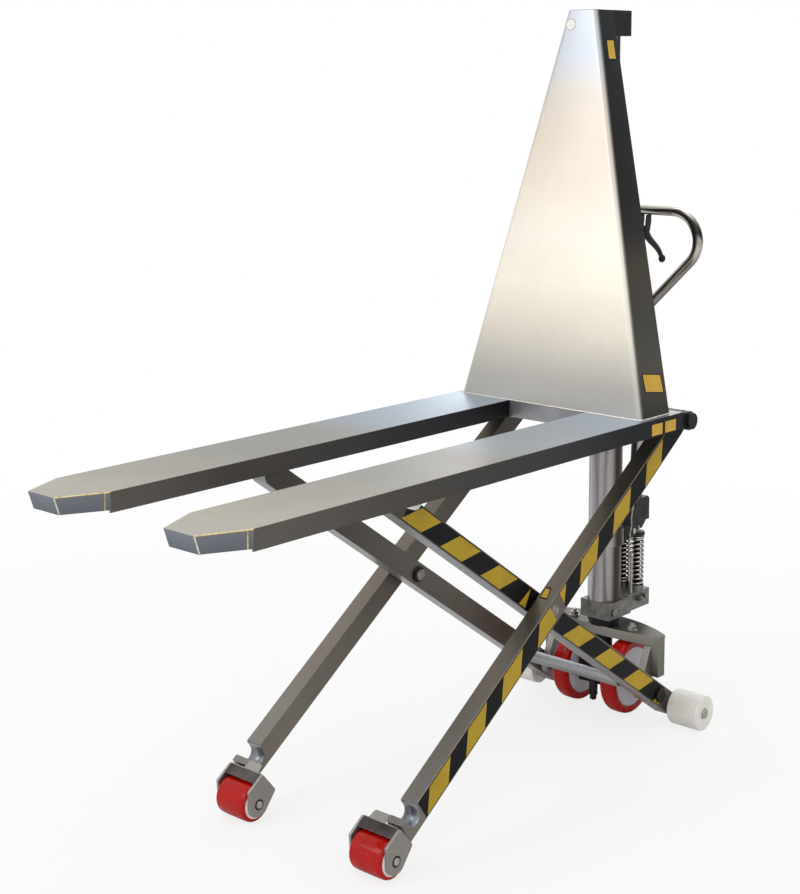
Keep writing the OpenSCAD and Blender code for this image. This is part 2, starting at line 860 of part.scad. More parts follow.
// Forks: channels open below, with tapered noses. Behind the mast's front plate the top is
// a shallow step lower, and the mast stands on that step.
module fork() {
  translate([fork_in, nose_y, fork_under]) cube([fork_w, -nose_y, plate_t]);
  translate([fork_in, nose_y, fork_under]) cube([fork_w, fork_rear - nose_y, plate_t - foot_step]);
  translate([fork_in, nose_y, fork_low]) cube([plate_t, -nose_y, fork_h - 1]);
  across(fork_out - plate_t, fork_out) polygon([
    [nose_y, fork_low], [wall_rear, fork_low], [fork_rear, fork_top - 1], [nose_y, fork_top - 1]]);
}

module nose_shell(inset, top) {
  hull() {
    translate([0, 0, top - 1]) linear_extrude(1) polygon([
      [fork_in + inset, nose_y], [fork_out - inset, nose_y],
      [fork_out - nose_in - inset, inset - fork_len], [fork_in + nose_in + inset, inset - fork_len]]);
    translate([0, 0, fork_top - nose_h]) linear_extrude(1) polygon([
      [fork_in + inset, nose_y], [fork_out - inset, nose_y],
      [fork_out - nose_in - inset, inset + nose_slope - fork_len],
      [fork_in + nose_in + inset, inset + nose_slope - fork_len]]);
  }
}

module fork_noses() {
  color(steel) both_sides() difference() {
    nose_shell(0, fork_top);
    translate([0, 0.5, -1]) nose_shell(plate_t, fork_under + 1);
    translate([fork_in + plate_t, nose_y - 10, fork_top - nose_h - 1])
      cube([fork_w - 2 * plate_t, 20, nose_h - plate_t + 1]);
  }
}

module cross_member() {
  color(steel) difference() {
    translate([-fork_in, 0, fork_low]) cube([2 * fork_in, cross_d, fork_h - foot_step]);
    translate([-fork_in - 1, plate_t, fork_low + plate_t])
      cube([2 * fork_in + 2, cross_d - 2 * plate_t, fork_h - 2 * plate_t]);
  }
}

// Upper ears: a thick plate under each fork's rear corner with the upper pivot's pin and head
module upper_ears() {
  color(steel) both_sides() {
    across(ear_x, ear_x + ear_t) {
      translate([pivot_y, pivot_top]) circle(r = end_r);
      polygon([[pivot_y - 90, fork_under], [pivot_y - 90, fork_low + 8], [pivot_y, pivot_top - end_r],
        [pivot_y + 8, pivot_top + end_r - 4], [fork_rear, fork_under]]);
    }
    rod_x(outer_x + 2, ear_x + 1, pivot_y, pivot_top, pin_d);
    rod_x(ear_x + ear_t - 1, ear_x + ear_t + head_t, pivot_y, pivot_top, head_d);
  }
}

// Mast: a leaning front plate between two side plates that run straight back
module mast_width(inset) {
  rotate([90, 0, 0]) translate([0, 0, -400]) linear_extrude(500) polygon([
    [-mast_foot + inset, mast_low - inset], [mast_foot - inset, mast_low - inset],
    [mast_head - inset, mast_top + inset], [-mast_head + inset, mast_top + inset]]);
}

module mast_cover() {
  color(steel) difference() {
    intersection() {
      mast_width(0);
      across(-mast_foot, mast_foot) polygon([
        [0, mast_low], [mast_lean, mast_top],
        [mast_depth + rear_lean, mast_top], [mast_depth, mast_low]]);
    }
    intersection() {
      mast_width(plate_t);
      across(-mast_foot, mast_foot) polygon([
        [plate_t, mast_low - 5], [mast_lean + plate_t, mast_top + 5],
        [mast_depth + rear_lean + 20, mast_top + 5], [mast_depth + 20, mast_low - 5]]);
    }
  }
}

// The cap fits between the side plates and sits on the lift rod
module mast_cap() {
  color(steel) difference() {
    union() {
      y = mast_depth + rear_lean + 2;
      translate([-cap_x, y, cap_low]) cube([2 * cap_x, cap_rear - y, cap_h]);
      x = mast_head - plate_t - 1;
      translate([-x, mast_lean + plate_t + 2, cap_low]) cube([2 * x, y - mast_lean - plate_t - 1, cap_h]);
    }
    translate([0, steer_y, cap_low - 1]) cylinder(h = cap_h - 8, d = rod_d - 14 + 2 * run);
  }
}

module lift_rod() {
  color(pale_grey) translate([0, steer_y, 0]) {
    translate([0, 0, rod_low]) cylinder(h = cap_low - rod_low, d = rod_d);
    translate([0, 0, rod_low]) cylinder(h = piston_h, d = bore_d - 2 * run);
    translate([0, 0, cap_low - 1]) cylinder(h = cap_h - 10, d = rod_d - 14);
  }
}

placed() bridge();
placed() foot_plates();
placed() lower_pins();
placed() bridge_bolts();
placed() lower_race();
placed() upper_race();
placed() wheel_carrier();
placed() wheel_axle();
placed() axle_caps();
placed() carrier_stay();
placed() wheel_at(wheel_x + wheel_w / 2, steer_y, wheel_d / 2) wheel_hub();  // wheel_hub_left
placed() wheel_at(wheel_x + wheel_w / 2, steer_y, wheel_d / 2) wheel_tread();  // wheel_tread_left
placed() wheel_at(-wheel_x - wheel_w / 2, steer_y, wheel_d / 2) wheel_hub();  // wheel_hub_right
placed() wheel_at(-wheel_x - wheel_w / 2, steer_y, wheel_d / 2) wheel_tread();  // wheel_tread_right
placed() pump_block();
placed() pump_fittings();
placed() cylinder_tube();
placed() gland();
placed() release_rod();
placed() plungers();
placed() spring_cap();
placed() spring(1);  // spring_left
placed() spring(-1);  // spring_right
placed() tiller_bracket();
placed() tiller_pin();
placed() tiller_base();
placed() presser_roller();
placed() tiller_shaft();
placed() tiller_loop();
placed() lever_bracket();
placed() lever();
placed() inner_arm(true);  // inner_arm_left
placed() inner_arm(false);  // inner_arm_right
placed() cross_tube();
placed() center_pins();
placed() stab_axles();
placed() stab_roller(true);  // stab_roller_left
placed() stab_roller(false);  // stab_roller_right
placed() stab_bush(true);  // stab_bush_left
placed() stab_bush(false);  // stab_bush_right
placed() top_pins();
placed() top_roller(true);  // top_roller_left
placed() top_roller(false);  // top_roller_right
placed() outer_arm(true);  // outer_arm_left
placed() outer_arm(false);  // outer_arm_right
placed() yoke(true);  // yoke_left
placed() yoke(false);  // yoke_right
placed() load_pins();
placed() wheel_at(load_x, load_y, load_d / 2) load_tread();  // load_tread_left
placed() wheel_at(load_x, load_y, load_d / 2) load_hub();  // load_hub_left
placed() wheel_at(-load_x, load_y, load_d / 2) load_tread();  // load_tread_right
placed() wheel_at(-load_x, load_y, load_d / 2) load_hub();  // load_hub_right
placed() color(steel) fork();  // fork_left
placed() color(steel) mirror([1, 0, 0]) fork();  // fork_right
placed() fork_noses();
placed() cross_member();
placed() upper_ears();
placed() mast_cover();
placed() mast_cap();
placed() lift_rod();
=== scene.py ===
import json
import math
import bmesh
import bpy
import numpy as np
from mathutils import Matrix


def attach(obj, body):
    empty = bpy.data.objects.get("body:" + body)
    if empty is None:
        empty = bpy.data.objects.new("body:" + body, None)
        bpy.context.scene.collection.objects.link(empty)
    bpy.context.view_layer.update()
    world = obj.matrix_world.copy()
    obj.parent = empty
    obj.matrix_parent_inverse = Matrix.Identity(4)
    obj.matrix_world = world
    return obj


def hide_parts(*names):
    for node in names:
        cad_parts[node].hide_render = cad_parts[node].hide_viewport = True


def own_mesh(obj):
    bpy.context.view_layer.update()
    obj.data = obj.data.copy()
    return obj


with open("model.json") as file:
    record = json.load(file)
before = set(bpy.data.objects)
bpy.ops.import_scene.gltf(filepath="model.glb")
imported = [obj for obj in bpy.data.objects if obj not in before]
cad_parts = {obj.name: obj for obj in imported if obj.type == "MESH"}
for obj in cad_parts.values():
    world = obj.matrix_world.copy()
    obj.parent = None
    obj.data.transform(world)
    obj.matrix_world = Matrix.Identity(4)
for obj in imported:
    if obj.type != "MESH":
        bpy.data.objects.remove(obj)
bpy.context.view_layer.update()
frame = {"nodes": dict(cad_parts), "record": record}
nodes = frame["nodes"]
scene = bpy.context.scene
scene.view_settings.view_transform = "Standard"
bodyOf = {node: body for body, members in frame["record"]["behaviour"]["bodies"].items() for node in members}
sides = {"left": 1, "right": -1}
print("frame loaded:", len(nodes), "nodes")

# The truck's own sizes, in millimetres from the foot of the mast's front plate, as in the CAD source
truck = {
    "shift": 397, "pivotY": 200, "pivotLow": 79, "pivotHigh": 747, "armHalf": 585.6,
    "steerY": 238,
}
lift = math.asin((truck["pivotHigh"] - truck["pivotLow"]) / (2 * truck["armHalf"]))
crossing = np.array([truck["pivotY"] - truck["armHalf"] * math.cos(lift),
                     truck["pivotLow"] + truck["armHalf"] * math.sin(lift)])


def place(points):  # millimetres from the mast's foot become metres in the shared frame
    return (np.asarray(points, float) + [0, truck["shift"], 0]) / 1000


def onArm(arm, along, above, x):  # a point from its distance along an arm's axis and above it
    way = -1 if arm == "outer" else 1
    along, above, x = (np.asarray(value, float) for value in np.broadcast_arrays(along, above, x))
    y = crossing[0] - along * math.cos(lift) + way * above * math.sin(lift)
    z = crossing[1] + way * along * math.sin(lift) + above * math.cos(lift)
    return np.stack([x, y, z], -1)


# Shapes: each is a grid or a profile worked out as whole arrays
corner = {"sharp": 35, "flat": 0.8, "merge": 1e-5}  # degrees between faces that make an edge or none; metres


def unit(v):  # each vector divided by its own length
    return v / np.linalg.norm(v, axis=-1, keepdims=True)


def rounded(corners, radius, steps=8):
    # every corner of a closed outline gives way to an arc that touches both of its edges
    corners = np.asarray(corners, float)
    radius = np.broadcast_to(np.asarray(radius, float), len(corners))[:, None]
    back = unit(np.roll(corners, 1, 0) - corners)
    onward = unit(np.roll(corners, -1, 0) - corners)
    half = np.arccos(np.clip((back * onward).sum(-1, keepdims=True), -1, 1)) / 2
    middle = corners + unit(back + onward) * radius / np.sin(half)
    first = corners + back * radius / np.tan(half) - middle
    last = corners + onward * radius / np.tan(half) - middle
    turn = (np.pi - 2 * half)[:, None]
    part = np.linspace(0, 1, steps + 1)[None, :, None]
    arc = (np.sin((1 - part) * turn) * first[:, None] + np.sin(part * turn) * last[:, None]) / np.sin(turn)
    return (middle[:, None] + arc).reshape(-1, corners.shape[1])


def box(left, right, low, high):  # a rectangle's corners, from its lower left one up and round
    return [(left, low), (left, high), (right, high), (right, low)]


def gridFaces(rows, cols, loopRows, loopCols):
    # each cell of the grid is one quad, and a looped side closes back on its start
    r = np.arange(rows if loopRows else rows - 1)[:, None]
    c = np.arange(cols if loopCols else cols - 1)[None, :]
    r2, c2 = (r + 1) % rows, (c + 1) % cols
    return np.stack([r * cols + c, r2 * cols + c, r2 * cols + c2, r * cols + c2], -1).reshape(-1, 4).tolist()


def newPiece(name, points, faces, body, material, smoothTo=40, replaced=()):
    # points are in millimetres; doubles are merged, faces turned outwards, and creases kept past smoothTo
    mesh = bpy.data.meshes.new(name)
    mesh.from_pydata(place(points).reshape(-1, 3).tolist(), [], faces)
    work = bmesh.new()
    work.from_mesh(mesh)
    bmesh.ops.remove_doubles(work, verts=work.verts, dist=1e-6)
    bmesh.ops.recalc_face_normals(work, faces=work.faces)
    work.to_mesh(mesh)
    work.free()
    return finishPiece(name, mesh, body, material, smoothTo, replaced)


def finishPiece(name, mesh, body, material, smoothTo=40, replaced=()):
    mesh.shade_smooth()
    mesh.set_sharp_from_angle(angle=math.radians(smoothTo))
    mesh.materials.clear()
    mesh.materials.append(material)
    piece = bpy.data.objects.new(name, mesh)
    scene.collection.objects.link(piece)
    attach(piece, body)
    if replaced:
        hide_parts(*replaced)
    return piece


def turned(name, profile, centre, axis, body, material, steps=72, **rest):
    # the closed profile of (distance along, radius) is carried round the axis through the centre
    profile = np.asarray(profile, float)
    angle = np.linspace(0, 2 * np.pi, steps, endpoint=False)[:, None]
    along = np.broadcast_to(profile[:, 0], (steps, len(profile)))
    out, up = profile[:, 1] * np.cos(angle), profile[:, 1] * np.sin(angle)
    order = {"x": (along, out, up), "y": (up, along, out), "z": (out, up, along)}[axis]
    points = np.stack(order, -1) + np.asarray(centre, float)
    return newPiece(name, points, gridFaces(steps, len(profile), True, True), body, material, **rest)


def swept(name, section, path, up, body, material, closed=False, **rest):
    # the section is carried along the path, its second side held towards up
    path, section = np.asarray(path, float), np.asarray(section, float)
    if closed:
        heading = unit(np.roll(path, -1, 0) - np.roll(path, 1, 0))
    else:
        heading = unit(np.gradient(path, axis=0))
    side = unit(np.cross(heading, np.asarray(up, float)))
    top = np.cross(side, heading)
    points = path[:, None] + side[:, None] * section[None, :, :1] + top[:, None] * section[None, :, 1:]
    rows, cols = len(path), len(section)
    faces = gridFaces(rows, cols, closed, True)
    if not closed:
        faces += [list(range(cols)), list(range((rows - 1) * cols, rows * cols))[::-1]]
    return newPiece(name, points, faces, body, material, **rest)


def circle(radius, steps=20, flat=1.0):
    # points at equal angles on a circle, its height multiplied by flat
    angle = np.linspace(0, 2 * np.pi, steps, endpoint=False)
    return np.stack([radius * np.cos(angle), flat * radius * np.sin(angle)], -1)


def slab(name, outline, normal, depth, body, material, bevel=0.6, **rest):
    # a flat outline in space, given a thickness along its normal and a small bevel round its rim
    outline, normal = np.asarray(outline, float), np.asarray(normal, float)
    count = len(outline)
    points = np.concatenate([outline, outline + normal * depth])
    faces = gridFaces(2, count, False, True)
    faces += [list(range(count))[::-1], list(range(count, 2 * count))]
    piece = newPiece(name, points, faces, body, material, **rest)
    if bevel:
        addBevel(piece, bevel / 1000, 2)
    return piece


def addBevel(piece, width, segments, limit="ANGLE"):
    bevel = piece.modifiers.new("edges", "BEVEL")
    bevel.width = width
    bevel.segments = segments
    bevel.limit_method = limit
    bevel.angle_limit = math.radians(corner["sharp"])
    bevel.harden_normals = True
    return bevel


def softened(node, material, width=0.0012, fold=None, foldWidth=0.004, segments=3, keep=None):
    # a merged copy of a CAD node with broken edges; fold names the edges of bent sheet, keep those left sharp
    mesh = nodes[node].data.copy()
    mesh.name = node + "Finished"
    work = bmesh.new()
    work.from_mesh(mesh)
    bmesh.ops.remove_doubles(work, verts=work.verts, dist=corner["merge"])
    bmesh.ops.dissolve_limit(work, angle_limit=math.radians(corner["flat"]), verts=work.verts, edges=work.edges)
    weight = work.edges.layers.float.new("bevel_weight_edge")
    for edge in work.edges:
        if len(edge.link_faces) == 2 and edge.calc_face_angle() > math.radians(corner["sharp"]):
            a, b = edge.verts[0].co, edge.verts[1].co
            edge[weight] = 1.0 if fold and fold(a, b) else width / (foldWidth if fold else width)
            if keep and keep(a, b):
                edge[weight] = 0.0
    work.to_mesh(mesh)
    work.free()
    piece = finishPiece(node + "Finished", mesh, bodyOf[node], material, corner["sharp"], [node])
    addBevel(piece, foldWidth if fold else width, segments, "WEIGHT")
    return piece


# Finishes: a colour is an sRGB hex value, made linear by the standard's curve with its straight foot
def toLinear(colour):
    part = np.array([int(colour[i:i + 2], 16) for i in (1, 3, 5)]) / 255
    part = np.where(part <= 0.04045, part / 12.92, ((part + 0.055) / 1.055) ** 2.4)
    return (*part.tolist(), 1.0)


def feed(tree, node, inputs):
    # each input gets a value, or a link from another node's output
    for socket, source in inputs.items():
        if isinstance(source, bpy.types.NodeSocket):
            tree.links.new(source, node.inputs[socket])
        else:
            node.inputs[socket].default_value = source


def addNode(tree, kind, inputs=None, stops=(), **settings):
    # adds a node with its settings and links, a ramp's stops too, and hands back its outputs
    node = tree.nodes.new("ShaderNode" + kind)
    for key, value in settings.items():
        setattr(node, key, value)
    feed(tree, node, inputs or {})
    points = node.color_ramp.elements if stops else ()
    while len(points) < len(stops):
        points.new(0.5)
    for point, (position, colour) in zip(points, stops):
        point.position = position
        point.color = toLinear(colour)
    return node.outputs


def startMaterial(name, inputs):
    material = bpy.data.materials.new(name)
    material.use_nodes = True
    tree = material.node_tree
    shader = tree.nodes["Principled BSDF"]
    feed(tree, shader, inputs)
    return material, tree, shader


# Brushed stainless sheet: drawn through a belt sander, so fine lines run one way and the sheen is soft.
# The real lines are about 0.2 mm wide; they are drawn 3 to 4 mm wide so that they show at this size.
# Flats, walls and tops have a ramp each along the piece, chosen by the way that the surface faces: these ramps are
# painted light, shade and reflection.
def brushedSteel(name, look):
    material, tree, shader = startMaterial(name, {"Metallic": 0.8})
    coords = addNode(tree, "TexCoord")
    spot = coords["Object"]
    turn = addNode(tree, "Mapping", {"Vector": spot, "Rotation": (look.get("turn", 0), 0, 0)})[0]
    lines = addNode(tree, "Mapping", {"Vector": turn, "Scale": look["grain"]})[0]
    grain = addNode(tree, "TexNoise", {"Vector": lines, "Scale": 1, "Detail": 3, "Roughness": 0.6})["Fac"]
    smear = addNode(tree, "TexNoise", {"Vector": spot, "Scale": look.get("smear", 7), "Detail": 3})["Fac"]
    facing = addNode(tree, "SeparateXYZ", {"Vector": coords["Normal"]})
    reach = addNode(tree, "SeparateXYZ", {"Vector": spot})[look["axis"]]
    low, high = look["span"]
    along = addNode(tree, "MapRange", {"Value": reach, "From Min": low, "From Max": high})[0]
    sideways = addNode(tree, "Math", {0: facing["X"]}, operation="ABSOLUTE")[0]
    # painted light ramps for flats, walls and tops, laid over each other by the way the surface faces
    flats, walls, tops = (addNode(tree, "ValToRGB", {"Fac": along}, look.get(part, look["flats"]))[0]
                          for part in ("flats", "walls", "tops"))
    paintedWallShare = addNode(tree, "ValToRGB", {"Fac": sideways}, [(0.45, "#000000"), (0.97, "#ffffff")])[0]
    paintedTopShare = addNode(tree, "MapRange", {"Value": facing["Z"], "From Min": 0.6, "From Max": 0.78})[0]
    # a painted highlight in the rim colour along the bends between flats and walls
    bends = [(0.12, "#000000"), (0.4, "#ffffff"), (0.7, "#ffffff"), (0.96, "#000000")]
    paintedRimShare = addNode(tree, "ValToRGB", {"Fac": sideways}, bends)[0]
    paintedRimShare = addNode(tree, "Math", {0: paintedRimShare, 1: look["paintedRimShare"]}, operation="MULTIPLY")[0]
    colour = flats
    for share, other in ((paintedWallShare, walls), (paintedTopShare, tops), (paintedRimShare, toLinear(look["rim"]))):
        colour = addNode(tree, "Mix", {"Factor": share, "A": colour, "B": other}, data_type="RGBA")["Result"]
    # painted shade on faces that turn downward, down to the under share
    down = {"Value": facing["Z"], "From Min": -1, "From Max": -0.3, "To Min": look["under"]}
    broad = {"Value": smear, "From Min": 0.3, "From Max": 0.7, "To Min": 0.95, "To Max": 1.05}
    shade = addNode(tree, "MapRange", {"Value": grain, "To Min": 1 - look["lines"], "To Max": 1 + look["lines"]})[0]
    for inputs in (broad, down):
        share = addNode(tree, "MapRange", inputs)[0]
        shade = addNode(tree, "Math", {0: shade, 1: share}, operation="MULTIPLY")[0]
    low, high = look["rough"] - 0.07, look["rough"] + 0.09
    feed(tree, shader, {
        "Base Color": addNode(tree, "HueSaturation", {"Color": colour, "Value": shade})[0],
        "Roughness": addNode(tree, "MapRange", {"Value": grain, "To Min": low, "To Max": high})[0],
        "Normal": addNode(tree, "Bump", {"Height": grain, "Strength": 0.1, "Distance": 0.0004})[0]})
    return material


# Polished stainless tube and chromed rod: smooth enough to mirror a room, whose reflection is painted into the colour
# in long bands, which follow the angle between the surface and one fixed direction
def polishedTube(name, look):
    material, tree, shader = startMaterial(name, {"Metallic": 1.0})
    coords = addNode(tree, "TexCoord")
    spot = coords["Object"]
    facing = addNode(tree, "VectorMath", {0: coords["Normal"], 1: look["across"]}, operation="DOT_PRODUCT")["Value"]
    drift = addNode(tree, "TexNoise", {"Vector": spot, "Scale": look["waves"], "Detail": 2})["Fac"]
    drift = addNode(tree, "MapRange", {"Value": drift, "To Min": -look["drift"], "To Max": look["drift"]})[0]
    level = addNode(tree, "Math", {0: facing, 1: drift}, operation="ADD")[0]
    level = addNode(tree, "MapRange", {"Value": level, "From Min": -1, "From Max": 1})[0]
    fine = addNode(tree, "TexNoise", {"Vector": spot, "Scale": 40, "Detail": 1})["Fac"]
    low, high = look["rough"] * 0.9, look["rough"] * 1.1
    feed(tree, shader, {
        "Base Color": addNode(tree, "ValToRGB", {"Fac": level}, look["bands"])[0],
        "Roughness": addNode(tree, "MapRange", {"Value": fine, "To Min": low, "To Max": high})[0]})
    return material


# Machined, cast or moulded parts: one colour broken up by small marks (60 to the metre is 17 mm apart),
# some dirt, and a fine tooth 2 mm apart, coarser than the real one so that it shows
def plainFinish(name, look):
    material, tree, shader = startMaterial(name, {
        "Metallic": look.get("metal", 0.0), "Coat Weight": look.get("coat", 0.0),
        "Coat Roughness": look.get("coatRough", 0.15), "Subsurface Weight": look.get("depth", 0.0),
        "Subsurface Scale": 0.004, "Specular IOR Level": look.get("specular", 0.5)})
    spot = addNode(tree, "TexCoord")["Object"]
    marks = {"Vector": spot, "Scale": look.get("marks", 60), "Detail": 4, "Roughness": 0.6}
    marks = addNode(tree, "TexNoise", marks)["Fac"]
    tooth = addNode(tree, "TexNoise", {"Vector": spot, "Scale": 500, "Detail": 2})["Fac"]
    rough = {"Value": marks, "From Min": 0.3, "From Max": 0.7, "To Min": look["rough"] - 0.06,
             "To Max": look["rough"] + 0.08}
    bump = {"Height": tooth, "Strength": look.get("bump", 0.15), "Distance": 0.0003}
    feed(tree, shader, {
        "Base Color": addNode(tree, "ValToRGB", {"Fac": marks}, [(0.3, look["dark"]), (0.62, look["light"])])[0],
        "Roughness": addNode(tree, "MapRange", rough)[0], "Normal": addNode(tree, "Bump", bump)[0]})
    return material


# Drawn spring wire: painted bright where it faces out of its coil and painted dark where it faces in, as painted
# light and painted shade
def springWire(name, look):
    material, tree, shader = startMaterial(name, {"Metallic": 1.0, "Roughness": 0.22})
    axes = addNode(tree, "SeparateXYZ", {"Vector": addNode(tree, "TexCoord")["Object"]})
    across = addNode(tree, "Math", {0: axes["X"]}, operation="ABSOLUTE")[0]
    across = addNode(tree, "Math", {0: across, 1: look["x"]}, operation="SUBTRACT")[0]
    back = addNode(tree, "Math", {0: axes["Y"], 1: look["y"]}, operation="SUBTRACT")[0]
    flat = addNode(tree, "CombineXYZ", {"X": across, "Y": back})[0]
    reach = addNode(tree, "VectorMath", {0: flat}, operation="LENGTH")["Value"]
    low, high = look["r"] - look["wire"], look["r"] + look["wire"]
    out = addNode(tree, "MapRange", {"Value": reach, "From Min": low, "From Max": high})[0]
    feed(tree, shader, {"Base Color": addNode(tree, "ValToRGB", {"Fac": out}, look["bands"])[0]})
    return material


# the fork's colours are painted reflections: the tops mirror daylight near the mast and a warm room at the tips, and
# the walls a dark floor; the bends get a painted highlight and the undersides painted shade
forkSteel = brushedSteel("brushedStainlessForkSheet", {
    "axis": "Y", "span": (-0.88, 0.55), "grain": (320, 7, 320), "lines": 0.09, "rough": 0.36,
    "flats": [(0, "#8b8a83"), (1, "#6c6f76")],
    "tops": [(0, "#b3a998"), (0.1, "#a39e92"), (0.35, "#85837b"), (0.52, "#827f7a"), (0.6, "#848e99"),
             (0.76, "#909dab"), (0.88, "#a6b3c2"), (1, "#7d8186")],
    "walls": [(0, "#67635e"), (0.4, "#4c4946"), (0.72, "#343439"), (0.85, "#17191d"), (1, "#15171b")],
    "rim": "#a59a84", "paintedRimShare": 0.7, "under": 0.5})
# the sloping noses are painted bluish beside the warm deck, as a painted reflection
noseSteel = brushedSteel("brushedStainlessNoseSheet", {
    "axis": "Z", "span": (0.742, 0.777), "grain": (240, 9, 240), "lines": 0.07, "rough": 0.38,
    "flats": [(0, "#676c76"), (1, "#7d828b")], "tops": [(0, "#aaa69b"), (1, "#aaa69b")],
    "walls": [(0, "#666a72"), (1, "#7b7d83")],
    "rim": "#7b7d83", "paintedRimShare": 0.3, "under": 0.5})
# painted light and reflection: the tall front goes from grey through warm white to a cool grey, its sides are painted
# nearly black above as painted shade, and its bends get a faint painted highlight
mastSteel = brushedSteel("brushedStainlessMastSheet", {
    "axis": "Z", "span": (0.777, 1.681), "grain": (260, 260, 8), "lines": 0.05, "rough": 0.38, "smear": 4,
    "flats": [(0, "#b1b0ad"), (0.07, "#bab6b0"), (0.19, "#dfd8ca"), (0.31, "#f0e9da"), (0.43, "#efe7da"),
              (0.55, "#e0d7ca"), (0.67, "#d3c8ba"), (0.79, "#c9c2b9"), (0.88, "#bbc0c8"), (1, "#b9bec4")],
    "walls": [(0, "#322f2a"), (0.12, "#4a473f"), (0.22, "#403e38"), (0.32, "#403b36"), (0.38, "#3b352e"),
              (0.45, "#1c1b19"), (0.53, "#101011"), (0.68, "#0c0d0e"), (0.85, "#131515"), (1, "#1b1e1f")],
    "rim": "#e9e6e0", "paintedRimShare": 0.2, "under": 0.8})
# the arms' tubes are ground along their length; their colours are painted light and reflection, warm below and darker
# towards the deck, with painted highlights on the long corners
armLook = {
    "axis": "Z", "span": (0.03, 0.78), "grain": (300, 6, 300), "lines": 0.07, "rough": 0.36,
    "flats": [(0, "#a3a1a2"), (1, "#8f9092")],
    "tops": [(0, "#827f7b"), (0.35, "#7b746b"), (0.7, "#6e665b"), (0.9, "#5c5648"), (1, "#3d3b36")],
    "walls": [(0, "#857d75"), (0.5, "#6a645d"), (1, "#4a4642")],
    "rim": "#b3a999", "paintedRimShare": 0.85, "under": 1.0}
outerSteel = brushedSteel("brushedStainlessOuterTube", {**armLook, "turn": lift})
innerSteel = brushedSteel("brushedStainlessInnerTube", {**armLook, "turn": -lift})
# thick plate off the grinder: a plain warm grey, darker towards the top, with painted shade on its sides and painted
# highlights on its edges
plateSteel = brushedSteel("groundStainlessPlate", {
    "axis": "Z", "span": (0.0, 0.8), "grain": (220, 14, 220), "lines": 0.07, "rough": 0.4,
    "flats": [(0, "#a19e99"), (0.5, "#85817b"), (1, "#7b766f")],
    "walls": [(0, "#9a9690"), (0.5, "#716c66"), (1, "#5d5954")],
    "rim": "#c2beb6", "paintedRimShare": 0.6, "under": 0.6})
# the bridge's colours by facing are painted reflection: its top painted dark, its front lighter up the piece, and its
# edges painted bright
bridgeSteel = brushedSteel("groundStainlessBridge", {
    "axis": "Z", "span": (0.1, 0.206), "grain": (14, 220, 220), "lines": 0.07, "rough": 0.38,
    "flats": [(0, "#8b8780"), (1, "#a09c94")], "tops": [(0, "#4a4944"), (1, "#4a4944")],
    "walls": [(0, "#6f6b66"), (1, "#7c7771")],
    "rim": "#c2beb6", "paintedRimShare": 0.6, "under": 0.6})
crossSteel = plainFinish("groundStainlessBar", {  # satin and cool
    "dark": "#8b8c8f", "light": "#a3a4a8", "metal": 0.75, "rough": 0.36, "marks": 9})
saddleSteel = plainFinish("groundStainlessSaddle", {  # the same sheet, painted a little bluer and darker in the notch as painted shade and reflection
    "dark": "#7c8087", "light": "#979ba3", "metal": 0.75, "rough": 0.34, "marks": 16})
coverSteel = plainFinish("darkPaintedReflectionSheet", {  # painted near black as a painted reflection of dark surroundings, with a faint red
    "dark": "#3a3133", "light": "#5d5556", "metal": 0.7, "rough": 0.35, "marks": 12, "specular": 0.3})
earSteel = plainFinish("darkGroundSteel", {  # close to black, with a dull sheen
    "dark": "#1d1c1b", "light": "#2b2a29", "metal": 0.6, "rough": 0.42, "specular": 0.2})
machinedSteel = plainFinish("machinedSteelBlock", {  # milled grey with small tool marks
    "dark": "#5f5d59", "light": "#84827d", "metal": 0.75, "rough": 0.42, "bump": 0.25})
darkSteel = plainFinish("oiledDarkSteel", {  # black oxide under oil
    "dark": "#1f1f1f", "light": "#393836", "metal": 0.8, "rough": 0.38, "specular": 0.3})
boltSteel = plainFinish("zincPlatedBolt", {  # bright and a little milky
    "dark": "#8d8b86", "light": "#bdbab2", "metal": 0.95, "rough": 0.28, "marks": 140})
pinSteel = plainFinish("turnedSteelPin", {  # turned, greyer than the bolts
    "dark": "#6f6d69", "light": "#95928c", "metal": 0.9, "rough": 0.32, "marks": 90})
capSteel = plainFinish("darkBrushedCap", {  # black with a soft highlight
    "dark": "#141517", "light": "#202123", "metal": 0.6, "rough": 0.4, "marks": 25, "specular": 0.2})
tubeSteel = polishedTube("polishedStainlessHandleTube", {  # mirror bright, with painted reflection bands: one black band along it
    "across": (-0.35, 0.25, 0.9), "waves": 6, "drift": 0.05, "rough": 0.16,
    "bands": [(0, "#4a4845"), (0.08, "#8f8c88"), (0.2, "#c4bfb6"), (0.29, "#d3cdc2"), (0.35, "#5a5856"),
              (0.38, "#2b2a28"), (0.47, "#32302e"), (0.53, "#5f5d59"), (0.62, "#989590"), (0.75, "#d2cfc5"),
              (1, "#b9bcae")]})
cylinderSteel = polishedTube("honedCylinderTube", {  # honed, with softer painted reflection bands that are a little violet
    "across": (0, 1, 0), "waves": 1.5, "drift": 0.03, "rough": 0.3,
    "bands": [(0, "#989599"), (0.05, "#bdb9bc"), (0.09, "#96928f"), (0.15, "#aaa6a6"), (0.24, "#9d9893"),
              (0.3, "#6e6a66"), (0.36, "#3f3c3a"), (0.58, "#393736"), (0.72, "#8b8886"), (0.8, "#b7b4b1"),
              (0.9, "#9b9895"), (1, "#a9a6a4")]})
rodSteel = polishedTube("hardChromedRod", {  # hard chrome, with painted reflection bands: white and black side by side
    "across": (0, 1, 0), "waves": 2, "drift": 0.06, "rough": 0.12,
    "bands": [(0, "#d4d3d2"), (0.2, "#9d9a98"), (0.3, "#8d8b88"), (0.38, "#3a3836"), (0.58, "#161616"),
              (0.68, "#4f4d4b"), (0.8, "#c4c2bf"), (0.9, "#8b8987"), (1, "#b3b1ae")]})
